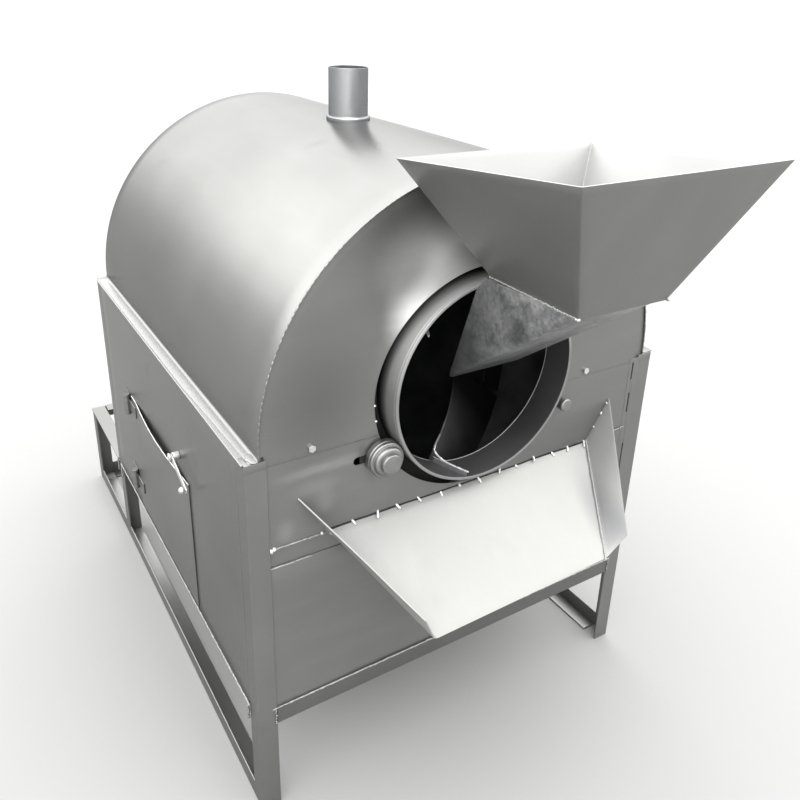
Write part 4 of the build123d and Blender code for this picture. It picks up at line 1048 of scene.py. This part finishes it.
chuteFinish = paintedSteel("chuteSheet", chutePaint)


def nudge(piece, test, step, widen=1.0):  # moves the corners that pass the test
    pick(piece, "VERT", lambda vert: test(vert.co))
    bpy.ops.transform.translate(value=step)
    bpy.ops.transform.resize(value=(widen, 1, 1), center_override=(midX, 0, 0))


def hopper():
    low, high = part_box("hopper")
    middle = (low + high) / 2
    piece = newBox(low, high)
    startEdit(piece)
    pick(piece, "FACE", lambda face: abs(face.normal.z) > 0.9)
    bpy.ops.mesh.delete(type="ONLY_FACE")
    nudge(piece, lambda spot: spot.z > middle.z and spot.y > middle.y, (0, 0, -hopperLook["rimFall"]))
    nudge(piece, lambda spot: spot.z < middle.z and spot.y < middle.y,
          (0, hopperLook["frontLean"], hopperLook["footRise"]), hopperLook["frontFoot"])
    nudge(piece, lambda spot: spot.z < middle.z and spot.y > middle.y,
          (0, -hopperLook["rearLean"], 0), hopperLook["rearFoot"])
    for (right, rear, up), step in hopperSkew.items():
        nudge(piece, lambda spot: (spot.x - midX) * right > 0 and (spot.y - middle.y) * rear > 0
              and (spot.z - middle.z) * up > 0, step)
    endEdit()
    foldedSheet(piece, hopperLook)
    markFaces(piece, "bareInside", lambda face: float(face.normal.z > 0.1))  # the inner faces look up
    return settle(piece, "feedHopper", "silver_sheet", "cabinet", "hopper", finish=hopperFinish)


def spout():
    piece = copyOfNode("feed_spout")
    low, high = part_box("feed_spout")
    half = (high.x - low.x) / 2 - spoutLook["skin"]

    def outside(face):
        wall = abs(face.normal.x) > 0.9 and abs(face.calc_center_median().x - midX) > half
        return face.calc_area() >= spoutLook["least"] and (wall or face.normal.z < -0.3)

    startEdit(piece)
    pick(piece, "FACE", lambda face: not outside(face))
    bpy.ops.mesh.delete(type="FACE")
    endEdit()
    foldedSheet(piece, spoutLook)
    return settle(piece, "feedSpout", "galvanised_sheet", "cabinet", "feed_spout")


def chute():
    low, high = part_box("discharge_chute")
    back = high.z - chuteLook["joint"]
    lip = low.z + chuteLook["sheet"] * chuteLook["slope"]
    half = chuteLook["half"]
    middleY = (low.y + panelFace) / 2
    piece = added(bpy.ops.mesh.primitive_plane_add, size=1, location=(midX, middleY, 0),
                  scale=(2 * half, panelFace - low.y, 1))

    def corner(side, atBack, past=0.0):  # a test for the corners of one side, at the back or the lip
        return lambda spot: (spot.x - midX) * side > past and (spot.y > middleY) == atBack

    startEdit(piece)
    for side, look in chuteSides.items():
        nudge(piece, corner(side, True), (side * (look["back"] - half), 0, back))
        nudge(piece, corner(side, False), (side * (look["lip"] - half), 0, lip + look["lift"]))
        pick(piece, "VERT", lambda vert: (vert.co.x - midX) * side > 0)
        lean, height = look["backWall"]
        pushOut((side * lean, 0, height))
        lipLean, lipHeight = look["lipWall"]
        past = look["lip"] + chuteLook["past"]  # only the wall's new corner
        nudge(piece, corner(side, False, past), (side * (lipLean - lean), 0, lipHeight - height))
    facesTowards(piece, Vector((0, 0, 1)))
    endEdit()
    foldedSheet(piece, chuteLook)
    return settle(piece, "dischargeChute", "bright_sheet", "cabinet", "discharge_chute", finish=chuteFinish)


hopper()
spout()
chute()
print("hopper, spout and chute done")


# Latch knob: a ball turned with a short neck

knobLook = {"ball": 0.0075, "neck": 0.0045, "foot": -0.0005, "inset": 0.008, "reach": 0.013, "sides": 28,
            "from": -0.25, "step": 0.092, "steps": 8, "smooth": 50}  # from and step in half turns


def latchKnob():
    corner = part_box("door_latch")[0] + Vector((0, knobLook["inset"], knobLook["inset"]))
    ball = knobLook["ball"]
    centre = knobLook["reach"] - ball
    profile = [(knobLook["neck"], knobLook["foot"]), (knobLook["neck"], centre - ball * 0.7)]
    for step in range(1, knobLook["steps"] + 1):
        angle = (knobLook["from"] + step * knobLook["step"]) * math.pi
        profile.append((ball * math.cos(angle), centre + ball * math.sin(angle)))
    piece = turned(profile, corner, "-X", knobLook["sides"])
    shaded(piece, knobLook["smooth"])
    return settle(piece, "latchKnob", slotOf["door_latch"], "latch")


latchKnob()


# Roller chain: plates, rivets and rollers laid round both sprockets

chainLook = {"pitch": 0.01905, "drivenTeeth": 51, "driveTeeth": 17, "gap": 0.0058, "plate": 0.0018,
             "half": 0.0082, "waist": 0.0056, "plateSides": 16, "roller": 0.006, "rollerSides": 12,
             "rivet": 0.0028, "rivetOut": 0.0012, "rivetTaper": 0.8, "rivetSides": 8,
             "clearDrive": 0.040, "clearDriven": 0.064}


def sprocketCentre(node):
    return Vector((midX, boxMiddle(node).z))


def pitchRadius(teeth):
    return chainLook["pitch"] / 2 / math.sin(math.pi / teeth)


def onCircle(centre, radius, angle):
    return centre + radius * Vector((math.cos(angle), math.sin(angle)))


def chainPath():  # the loop as a function of the way along it, its length, and where the straight runs lie
    head, foot = sprocketCentre("driven_sprocket"), sprocketCentre("drive_sprocket")
    big, small = pitchRadius(chainLook["drivenTeeth"]), pitchRadius(chainLook["driveTeeth"])
    rise = (head - foot).length
    tilt = math.asin((big - small) / rise)
    run = math.sqrt(rise ** 2 - (big - small) ** 2)
    over, under = big * (math.pi + 2 * tilt), small * (math.pi - 2 * tilt)
    length = 2 * run + over + under
    farSide = math.pi + tilt

    def place(way):
        way %= length
        if way < run:
            return onCircle(foot, small, -tilt).lerp(onCircle(head, big, -tilt), way / run)
        if way < run + over:
            return onCircle(head, big, -tilt + (way - run) / big)
        if way < 2 * run + over:
            share = (way - run - over) / run
            return onCircle(head, big, farSide).lerp(onCircle(foot, small, farSide), share)
        return onCircle(foot, small, farSide + (way - 2 * run - over) / small)

    clearFoot, clearHead = chainLook["clearDrive"], chainLook["clearDriven"]
    upRun = (clearFoot, run - clearHead)
    downRun = (run + over + clearHead, 2 * run + over - clearFoot)
    return place, length, (upRun, downRun)


def linkPlate():
    piece = added(bpy.ops.mesh.primitive_circle_add, vertices=chainLook["plateSides"],
                  radius=chainLook["half"], fill_type="NGON", rotation=upright)
    shift = chainLook["pitch"] / 2 - chainLook["half"] * 0.3
    startEdit(piece)
    for side in (-1, 1):
        pick(piece, "VERT", lambda vert: vert.co.x * side > tiny)
        bpy.ops.transform.translate(value=(side * shift, 0, 0))
    pick(piece, "VERT", lambda vert: abs(vert.co.x) < tiny)
    bpy.ops.transform.resize(value=(1, 1, chainLook["waist"] / chainLook["half"]), center_override=(0, 0, 0))
    bpy.ops.mesh.select_all(action="SELECT")
    pushOut((0, chainLook["plate"], 0))
    bpy.ops.mesh.select_all(action="SELECT")
    bpy.ops.mesh.normals_make_consistent(inside=False)
    endEdit()
    return piece


def rollerChain():
    middleY = boxMiddle("drive_chain").y
    place, length, openRuns = chainPath()
    count = round(length / chainLook["pitch"])
    step = length / count
    plate = linkPlate()
    gap, thick = chainLook["gap"], chainLook["plate"]
    head = [(chainLook["rivet"], 0), (chainLook["rivet"] * chainLook["rivetTaper"], chainLook["rivetOut"])]
    rivet, backRivet = [turned(head, (0, 0, 0), axis, chainLook["rivetSides"]) for axis in ("Y", "-Y")]
    drawn = [(chainLook["roller"], -gap), (chainLook["roller"], gap)]
    roller = turned(drawn, (0, 0, 0), "Y", chainLook["rollerSides"])
    laid = []
    for index in range(count):
        here, ahead = place(index * step), place((index + 1) * step)
        line = ahead - here
        turn = Matrix.Rotation(-math.atan2(line.y, line.x), 4, "Y")
        layer = gap + thick * (index % 2)
        centre = (here + ahead) / 2
        for foot in (middleY + layer, middleY - layer - thick):
            laid.append(copied(plate, Matrix.Translation((centre.x, foot, centre.y)) @ turn))
        reach = gap + 2 * thick
        laid.append(copied(rivet, Matrix.Translation((here.x, middleY + reach, here.y))))
        laid.append(copied(backRivet, Matrix.Translation((here.x, middleY - reach, here.y))))
        if any(first < index * step < last for first, last in openRuns):
            laid.append(copied(roller, Matrix.Translation((here.x, middleY, here.y))))
    for pattern in (plate, rivet, backRivet, roller):
        bpy.data.objects.remove(pattern)
    piece = joined(laid)
    shaded(piece)
    return settle(piece, "rollerChain", "chain_steel", "cabinet", "drive_chain")


rollerChain()
print("chain done")


# Small fittings of the drive: covers, screws, plugs

driveLook = {"cover": 0.060, "coverThick": 0.006, "coverBore": 0.012, "coverRound": 0.002,
             "coverScrews": 0.050, "cap": 0.035, "capThick": 0.005, "capBore": 0.010, "capRound": 0.0015,
             "capScrews": 0.027,
             "flangeBolts": 0.060, "screw": (0.0046, 0.0038), "bolt": (0.0068, 0.0055),  # radius, height
             "plug": (0.010, 0.009), "plugAside": 0.03, "plugSunk": 0.0005}
lidLook = {"thick": 0.004, "over": 0.0015, "edge": 0.0016, "screw": (0.0036, 0.0022), "inset": 0.006,
           "gland": 0.016}
nippleLook = {"profile": [(0.0042, 0), (0.0042, 0.004), (0.0024, 0.0046), (0.0024, 0.0085), (0.0034, 0.0095),
                          (0.0034, 0.0110), (0.0020, 0.0128)],
              "inset": 0.008, "above": 0.0445, "sides": 12}


def hexHead(radius, height, spot, axis):
    core, chamfer = radius * 0.4, radius * 0.86
    profile = [(core, height), (chamfer, height), (radius, height * 0.8), (radius, 0), (core, 0)]
    return turned(profile, spot, axis, 6)


def screwRing(name, centre, axis, ring, count, start, head):
    group = []
    for index in range(count):
        angle = start + 2 * math.pi * index / count
        across, up = ring * math.cos(angle), ring * math.sin(angle)
        step = Vector((across, 0, up)) if axis.endswith("Y") else Vector((0, across, up))
        group.append(hexHead(*head, Vector(centre) + step, axis))
    return settle(joined(group), name, "zinc_bolts", "cabinet")


def driveFittings():
    look = driveLook
    low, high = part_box("gearbox")
    drive = sprocketCentre("drive_sprocket")
    worm = boxMiddle("motor")  # the worm runs on from the motor's shaft
    face = high.y + look["coverThick"]
    cover = turned(roundProfile([
        (look["coverBore"], face, 0), (look["cover"], face, look["coverRound"]), (look["cover"], high.y, 0),
        (look["coverBore"], high.y, 0)]), (midX, 0, drive.y), "Y")
    shaded(cover)
    settle(cover, "gearboxCover", "cast_housing", "cabinet")
    screw, bolt = look["screw"], look["bolt"]
    screwRing("gearboxCoverScrews", (midX, face, drive.y), "Y", look["coverScrews"], 6, 0.3, screw)
    thick = look["capThick"]
    cap = turned(roundProfile([
        (look["capBore"], thick, 0), (look["cap"], thick, look["capRound"]), (look["cap"], 0, 0),
        (look["capBore"], 0, 0)]), (low.x, worm.y, worm.z), "-X", 48)
    shaded(cap)
    settle(cap, "wormEndCap", "cast_housing", "cabinet")
    screwRing("wormCapScrews", (low.x - thick, worm.y, worm.z), "-X", look["capScrews"], 4, 0.8, screw)
    screwRing("motorFlangeBolts", (high.x, worm.y, worm.z), "-X", look["flangeBolts"], 4, math.pi / 4, bolt)
    plug = hexHead(*look["plug"], (midX - look["plugAside"], worm.y, high.z - look["plugSunk"]), "Z")
    settle(plug, "oilPlug", "zinc_bolts", "cabinet")


def terminalLid():
    low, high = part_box("terminal_box")
    over = lidLook["over"]
    lidLow = Vector((low.x - over, low.y - over, high.z))
    lidHigh = Vector((high.x + over, high.y - lidLook["gland"] + over, high.z + lidLook["thick"]))
    lid = newBox(lidLow, lidHigh)
    rounded(lid, lidLook["edge"], 3)
    shaded(lid)
    settle(lid, "terminalBoxLid", "motor_paint", "cabinet")
    inset = lidLook["inset"]
    heads = [hexHead(*lidLook["screw"], (x, y, lidHigh.z), "Z")
             for x in (lidLow.x + inset, lidHigh.x - inset) for y in (lidLow.y + inset, lidHigh.y - inset)]
    settle(joined(heads), "terminalLidScrews", "zinc_bolts", "cabinet")


def greaseNipple():
    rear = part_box("bearing_housing")[1].y
    spot = (midX, rear - nippleLook["inset"], drumAxis.z + nippleLook["above"])
    piece = turned(nippleLook["profile"], spot, "Z", nippleLook["sides"])
    shaded(piece)
    settle(piece, "greaseNipple", "zinc_bolts", "cabinet")


driveFittings()
terminalLid()
greaseNipple()
print("drive fittings done")


# Flame ports: two rows of black discs for the small holes along the top of each burner tube, soot and painted
# shade in the holes

portLook = {"radius": 0.0019, "sunk": 0.0006, "proud": 0.0002, "sides": 6, "pitch": 0.022, "margin": 0.012,
            "lean": 24, "tubeRadius": 0.016, "tubes": 4}


def flamePorts():
    low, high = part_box("burner_tubes")
    radius = portLook["tubeRadius"]
    drilled = [(portLook["radius"], -portLook["sunk"]), (portLook["radius"], portLook["proud"])]
    pattern = turned(drilled, (0, 0, 0), "Z", portLook["sides"])
    laid = []
    for tube in range(portLook["tubes"]):
        x = low.x + radius + (high.x - low.x - 2 * radius) * tube / (portLook["tubes"] - 1)
        for lean in (-portLook["lean"], portLook["lean"]):
            turn = Matrix.Rotation(math.radians(lean), 4, "Y")
            lift = turn @ Vector((0, 0, radius))
            y = low.y + portLook["margin"]
            while y < high.y - 3 * portLook["margin"]:
                spot = (x + lift.x, y, low.z + radius + lift.z)
                laid.append(copied(pattern, Matrix.Translation(spot) @ turn))
                y += portLook["pitch"]
    bpy.data.objects.remove(pattern)
    settle(joined(laid), "flamePorts", "burner_iron", "cabinet", finish=sootBlack)


flamePorts()


# What stays as CAD shape gets its finish only

for nodeName, part in nodes.items():
    part.data.materials.clear()
    part.data.materials.append(ownFinish.get(nodeName, finishes[slotOf[nodeName]]))


# Welds that show

weldSize = {  # half a bead's length, width and height
    "tack": (0.0042, 0.0048, 0.0040), "ridge": (0.0085, 0.0017, 0.0017), "crease": (0.0090, 0.0026, 0.0024),
    "speck": (0.0026, 0.0026, 0.0024), "seam": (0.0036, 0.0026, 0.0022), "pool": (0.0012, 0.0120, 0.0090),
    "streak": (0.0052, 0.0026, 0.0024), "thin": (0.0046, 0.0013, 0.0013), "frame": (0.0034, 0.0026, 0.0021)}
ridgeStep, ridgeWander = 0.011, 0.0003  # for the smooth ridges along straight edges
tackLook = {"proud": 0.0012, "lift": 0.001, "inset": 0.004, "step": 0.047, "wander": 0.004, "apart": 0.0036,
            "slant": 0.6, "fall": (-0.8, -0.7), "beads": (1, 2, 2, 3)}  # most tacks ran on down the tray
grooveLook = {"front": 0.0010, "back": 0.0004, "below": 0.001, "above": 0.0024, "cuts": 24, "wave": 0.003,
              "waveSize": 0.05, "edge": 0.0004}
wallTackShares = (0.03, 0.35, 0.65, 0.67, 0.89)  # up the chute's right wall
creaseLook = {"inset": 0.001, "rear": 0.004, "front": 0.002, "lift": 0.0022, "step": 0.010, "wander": 0.0002}
panelRun = {"from": (0.390, 0.6272), "to": (0.429, 0.6278), "step": 0.005, "wander": 0.0010}  # x and height


def chuteTacks(left, right, z):
    onPanel = panelFace - tackLook["proud"]
    spots, lines = [], []
    for spot in lineOfSpots((left, onPanel, z), (right, onPanel, z), tackLook["step"], tackLook["wander"]):
        run = Vector((random.uniform(-tackLook["slant"], tackLook["slant"]), *tackLook["fall"]))
        for extra in range(random.choice(tackLook["beads"])):
            first = Vector((spot.x, onPanel, spot.z))
            spots.append(first + run * tackLook["apart"] * extra + Vector((0, 0, tackLook["lift"])))
            lines.append(run)
    weldRow("chuteTackWelds", spots, weldSize["streak"], lines=lines)


def chuteGroove(left, right, z):  # the dark joint under the tacks
    piece = newBox((left, panelFace - grooveLook["front"], z - grooveLook["below"]),
                   (right, panelFace + grooveLook["back"], z + grooveLook["above"]))
    startEdit(piece)
    bpy.ops.mesh.select_all(action="SELECT")
    bpy.ops.mesh.subdivide(number_cuts=grooveLook["cuts"])
    endEdit()
    wavy(piece, "Z", grooveLook["wave"], grooveLook["waveSize"])
    rounded(piece, grooveLook["edge"])
    shaded(piece)
    settle(piece, "chuteJointGroove", "bright_sheet", "cabinet", finish=sootBlack)


def chuteWelds():
    low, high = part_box("discharge_chute")
    joint = high.z - chuteLook["joint"]
    left = midX - chuteSides[-1]["back"] + tackLook["inset"]
    right = midX + chuteSides[1]["back"] - tackLook["inset"]
    chuteTacks(left, right, joint + tackLook["lift"])
    chuteGroove(left, right, joint + tackLook["lift"])
    wall = chuteSides[1]
    onPanel = panelFace - tackLook["proud"]
    wallFoot = Vector((midX + wall["back"], onPanel, joint))
    wallTop = wallFoot + Vector((wall["backWall"][0], 0, wall["backWall"][1]))
    weldRow("chuteWallTacks", [wallFoot.lerp(wallTop, share) for share in wallTackShares], weldSize["speck"])
    crease = creaseLook
    rear = wallFoot + Vector((-crease["inset"], -crease["rear"], crease["lift"]))
    lipZ = low.z + wall["lift"] + chuteLook["sheet"] * chuteLook["slope"]
    front = Vector((midX + wall["lip"] - crease["inset"], low.y + crease["front"], lipZ + crease["lift"]))
    weldRow("chuteCrease", lineOfSpots(rear, front, crease["step"], crease["wander"]), weldSize["crease"],
            finish=finishes["bright_sheet"])
    start, end = [(midX + x, onPanel, z) for x, z in (panelRun["from"], panelRun["to"])]
    weldRow("panelTackRun", lineOfSpots(start, end, panelRun["step"], panelRun["wander"]), weldSize["thin"],
            finish=finishes["bright_sheet"])


spoutSeam = {"step": 0.0046, "wander": 0.0007, "tackStep": (0, 0.004, -0.001)}


def spoutWelds():  # along the hopper's foot, from its skewed front corners to the rear ones
    front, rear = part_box("feed_spout"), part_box("hopper")
    half = (rear[1].x - rear[0].x) / 2
    frontHalf, rearHalf = half * hopperLook["frontFoot"], half * hopperLook["rearFoot"]
    rearY = rear[1].y - hopperLook["rearLean"]

    def frontCorner(side):
        return Vector((midX + side * frontHalf, front[0].y, front[1].z)) + Vector(hopperSkew[(side, -1, -1)])

    for side, name in ((-1, "spoutSeamLeft"), (1, "spoutSeamRight")):
        end = Vector((midX + side * rearHalf, rearY, rear[0].z))
        end += Vector(hopperSkew.get((side, 1, -1), (0, 0, 0)))
        spots = lineOfSpots(frontCorner(side), end, spoutSeam["step"], spoutSeam["wander"])
        weldRow(name, spots, weldSize["seam"], slot="galvanised_sheet", finish=finishes["bright_sheet"])
    corner = frontCorner(-1)
    weldRow("spoutCornerTack", [corner, corner + Vector(spoutSeam["tackStep"])], weldSize["speck"],
            slot="galvanised_sheet")


crossbarLook = {"proud": 0.0006, "off": 0.001, "topEnd": 0.334, "footEnd": 0.362, "tacks": (0.002, 0.008),
                "tackLift": 0.002, "speckOut": 0.0005, "speckTurns": (1, 9)}  # degrees below level
postLeg = 0.040  # width of an angle iron's leg


def frontWelds():
    look = crossbarLook
    y = panelFace - look["proud"]
    top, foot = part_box("middle_front_panel")[0].z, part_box("lower_front_panel")[1].z
    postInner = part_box("corner_posts")[0].x + postLeg
    for name, z, end in (("crossbarTopRidge", top + look["off"], midX - look["topEnd"]),
                         ("crossbarFootRidge", foot - look["off"], midX - look["footEnd"])):
        weldRow(name, lineOfSpots((postInner, y, z), (end, y, z), ridgeStep, ridgeWander), weldSize["ridge"],
                finish=finishes["bright_sheet"])
    first, second = [postInner + step for step in look["tacks"]]
    tackZ = top + look["tackLift"]
    weldRow("crossbarTacks", [(first, y, top), (second, y, tackZ), (midX - look["topEnd"], y, tackZ)],
            weldSize["tack"])
    rim = mouthLook["radius"] + look["speckOut"]
    specks = []
    for turn in look["speckTurns"]:
        across, down = rim * math.cos(math.radians(turn)), rim * math.sin(math.radians(turn))
        specks.append((midX - across, y, drumAxis.z - down))
    weldRow("mouthSpecks", specks, weldSize["speck"])


poolLook = {"count": 8, "across": (0.006, 0.020), "deep": (0.006, 0.022), "sunk": 0.0001}
cornerFill = {"left": 0.0005, "right": 0.0385, "width": 0.038, "proud": 0.0002, "depth": 0.030,
              "below": 0.012, "above": 0.0005, "edge": 0.0003}
cornerHole = {"radius": 0.0026, "sunk": 0.0004, "proud": 0.0012, "at": (-0.4415, 0.808), "sides": 12}


def hoodFoot():  # weld metal that ran flat at the flange's front corner, and the posts' filled tops
    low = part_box("hood")[0]
    edge = low.x + hoodLook["trim"] + hoodLook["narrow"]
    top = low.z + hoodLook["sheet"] - poolLook["sunk"]
    spots = []
    for pool in range(poolLook["count"]):
        across, deep = random.uniform(*poolLook["across"]), random.uniform(*poolLook["deep"])
        spots.append(Vector((edge + across, low.y + deep, top)))
    weldRow("hoodFootWeld", spots, weldSize["pool"], finish=finishes["bright_sheet"],
            lines=[Vector((0, 0, 1))] * len(spots))
    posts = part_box("corner_posts")
    front, back = posts[0].y - cornerFill["proud"], posts[0].y + cornerFill["depth"]
    foot, head = posts[1].z - cornerFill["below"], low.z + cornerFill["above"]
    for name, x in (("leftCornerFill", posts[0].x + cornerFill["left"]),
                    ("rightCornerFill", posts[1].x - cornerFill["right"])):
        fill = newBox((x, front, foot), (x + cornerFill["width"], back, head))
        rounded(fill, cornerFill["edge"])
        shaded(fill)
        settle(fill, name, "frame_steel", "cabinet")


def hoodSeam():  # the weld round the arch, and a black disc for a small hole beside its foot: painted shade
    low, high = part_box("hood")
    radius = (plateHigh.x - plateLow.x) / 2 + hoodLook["seat"] + hoodLook["sheet"] / 2
    arch = Vector((midX, low.y, high.z - hoodLook["sheet"] / 2 - radius))
    beads = hoodLook["seamBeads"]
    turns = [math.pi * step / beads for step in range(beads + 1)]
    seam = [arch + radius * Vector((-math.cos(turn), 0, math.sin(turn))) for turn in turns]
    weldRow("hoodFrontSeam", seam, weldSize["ridge"], finish=finishes["frame_steel"])
    x, z = cornerHole["at"]
    drilled = [(cornerHole["radius"], -cornerHole["sunk"]), (cornerHole["radius"], cornerHole["proud"])]
    hole = turned(drilled, (midX + x, panelFace, z), "-Y", cornerHole["sides"])
    settle(hole, "cornerHole", "silver_sheet", "cabinet", finish=sootBlack)


frameLook = {"margin": 0.002, "proud": 0.0005, "below": 0.0006, "step": 0.005, "wander": 0.0008}


def frameWelds():
    posts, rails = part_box("corner_posts"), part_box("base_side_rails")
    cross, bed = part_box("cross_rails"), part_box("bed_side_rails")
    low, high = rails[0].z + frameLook["margin"], rails[1].z - frameLook["margin"]
    corners = {}  # where the rails stand against the posts
    for side, corner in (("Left", 0), ("Right", 1)):
        corners["frontRailWeld" + side] = (cross[corner].x, posts[0].y - frameLook["proud"])
        corners["sideRailWeld" + side] = (rails[corner].x, rails[0].y)
        corners["rearRailWeld" + side] = (rails[corner].x, rails[1].y)
        corners["bedRailWeld" + side] = (bed[corner].x, bed[0].y)
    for name, (x, y) in corners.items():
        spots = lineOfSpots((x, y, low), (x, y, high), frameLook["step"], frameLook["wander"])
        weldRow(name, spots, weldSize["frame"], finish=finishes["frame_steel"])
    top = rails[1].z - frameLook["below"]
    edges = {"sideRailRidgeLeft": ((rails[0].x, rails[0].y, top), (rails[0].x, rails[1].y, top)),
             "sideRailRidgeRight": ((rails[1].x, rails[0].y, top), (rails[1].x, rails[1].y, top)),
             "frontRailRidge": ((cross[0].x, cross[0].y, top), (cross[1].x, cross[0].y, top))}
    for name, (start, end) in edges.items():
        weldRow(name, lineOfSpots(start, end, ridgeStep, ridgeWander), weldSize["ridge"],
                finish=finishes["bright_sheet"])


chuteWelds()
spoutWelds()
frontWelds()
hoodFoot()
hoodSeam()
frameWelds()
print("welds done")


# Painted filler where the front sheets meet the right post, open at the slots

fillerLook = {"width": 0.018, "foot": 0.262, "top": 0.799, "proud": 0.0002, "lap": 0.0004, "depth": 0.0026,
              "edge": 0.0006}  # depth: back to the crossbar's face
patchLook = {"from": 0.372, "gap": 0.002, "front": 0.0001, "back": 0.0024, "lap": 0.0005}


def postFiller():
    low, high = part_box("corner_posts")
    edge = high.x - postLeg  # inner edge of the post's front leg
    piece = newBox((edge - fillerLook["width"], low.y - fillerLook["proud"], fillerLook["foot"]),
                   (edge + fillerLook["lap"], panelFace + fillerLook["depth"], fillerLook["top"]))
    startEdit(piece)
    pick(piece, "VERT", lambda vert: vert.co.x < edge - tiny and vert.co.y < panelFace)
    bpy.ops.transform.translate(value=(0, panelFace - low.y, 0))  # slopes back to the sheets
    endEdit()
    cutPostSlots(piece)
    rounded(piece, fillerLook["edge"])
    shaded(piece)
    settle(piece, "rightPostFiller", "silver_sheet", "cabinet", finish=plateFinish)


def crossbarPatch():  # the piece of sheet over the crossbar's end
    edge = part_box("corner_posts")[1].x - postLeg - patchLook["gap"]
    foot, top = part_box("lower_front_panel")[1].z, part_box("middle_front_panel")[0].z
    piece = newBox((midX + patchLook["from"], panelFace + patchLook["front"], foot - patchLook["lap"]),
                   (edge, panelFace + patchLook["back"], top + patchLook["lap"]))
    settle(piece, "crossbarPatch", "silver_sheet", "cabinet", finish=plateFinish)


postFiller()
crossbarPatch()
print("fillers done")


# Stage, light and camera

stage = {"floor": 2400.0, "below": 0.0005, "mottle": 1.3,
         "colour": (0.213, 0.213, 0.211)}  # pale under this sky
sky = {"horizon": 1.2, "zenith": 4.7, "riseFrom": 0.03, "riseTo": 0.37, "glow": 0.25,
       "glowFrom": (-0.05, 0.95, 0.25), "glowStart": 0.5, "glowEnd": 1.0}


def studioFloor():
    bpy.ops.object.select_all(action="DESELECT")
    bpy.ops.mesh.primitive_plane_add(size=stage["floor"], location=(0, 0, -stage["below"]))
    floor = bpy.context.object
    floor.name = "studioFloor"
    finish = Finish("paleFloor", {"Specular IOR Level": 0.2})
    mottle = finish.noise(stage["mottle"], 3.0)
    shade = finish.tint(mottle * 0.25, stage["colour"], [part * 0.97 for part in stage["colour"]])
    floor.data.materials.append(finish.wear(shade, 0.7, mottle, 0.0001))


def studioSky():  # a dome that brightens above the horizon, with a glow behind the machine
    world = bpy.data.worlds.new("studioSky")
    world.use_nodes = True
    bench = Bench(world.node_tree)
    look = bench.node("TexCoord", out="Generated")
    facing = bench.node("VectorMath", {"operation": "DOT_PRODUCT"},
                        {0: look, 1: Vector(sky["glowFrom"]).normalized()}, "Value")
    glow = bench.node("MapRange", {"interpolation_type": "SMOOTHSTEP"},
                      {"Value": facing, "From Min": sky["glowStart"], "From Max": sky["glowEnd"]})
    light = bench.node("MapRange", {"interpolation_type": "SMOOTHSTEP"},
                       {"Value": bench.node("SeparateXYZ", None, {0: look}, "Z"), "From Min": sky["riseFrom"],
                        "From Max": sky["riseTo"], "To Min": sky["horizon"], "To Max": sky["zenith"]})
    light = light + sky["glow"] * glow
    shader = world.node_tree.nodes["Background"]
    bench.feed(shader.inputs["Color"], (1, 1, 1, 1))
    bench.feed(shader.inputs["Strength"], light)
    bpy.context.scene.world = world
    bpy.context.scene.view_settings.view_transform = "Standard"


keyLook = {"from": (-0.35, -0.25, 0.9), "away": 4, "strength": 0.4, "spread": 60}  # spread in degrees


def keyLamp():
    lamp = bpy.data.lights.new("keyLamp", "SUN")
    lamp.energy = keyLook["strength"]
    lamp.angle = math.radians(keyLook["spread"])
    holder = bpy.data.objects.new("keyLamp", lamp)
    holder.location = Vector(keyLook["from"]) * keyLook["away"]
    holder.rotation_mode = "QUATERNION"
    holder.rotation_quaternion = Vector(keyLook["from"]).to_track_quat("Z", "Y")
    bpy.context.scene.collection.objects.link(holder)


photoView = {"place": (-0.84853, -1.56103, 1.52365), "azimuth": 32.68, "elevation": 22.49, "roll": 1.808,
             "lens": 36.02, "sensor": 36.0, "shift": (-0.00735, -0.0957)}


def camera():
    eye = bpy.data.cameras.new("photoCamera")
    eye.lens = photoView["lens"]
    eye.sensor_width = photoView["sensor"]
    eye.shift_x, eye.shift_y = photoView["shift"]
    holder = bpy.data.objects.new("photoCamera", eye)
    bpy.context.scene.collection.objects.link(holder)
    turn = Matrix.Rotation(math.radians(-photoView["azimuth"]), 4, "Z")
    tilt = Matrix.Rotation(math.radians(90 - photoView["elevation"]), 4, "X")
    roll = Matrix.Rotation(math.radians(photoView["roll"]), 4, "Z")
    holder.matrix_world = Matrix.Translation(photoView["place"]) @ turn @ tilt @ roll
    bpy.context.scene.camera = holder


studioFloor()
studioSky()
keyLamp()
camera()
print("stage done")
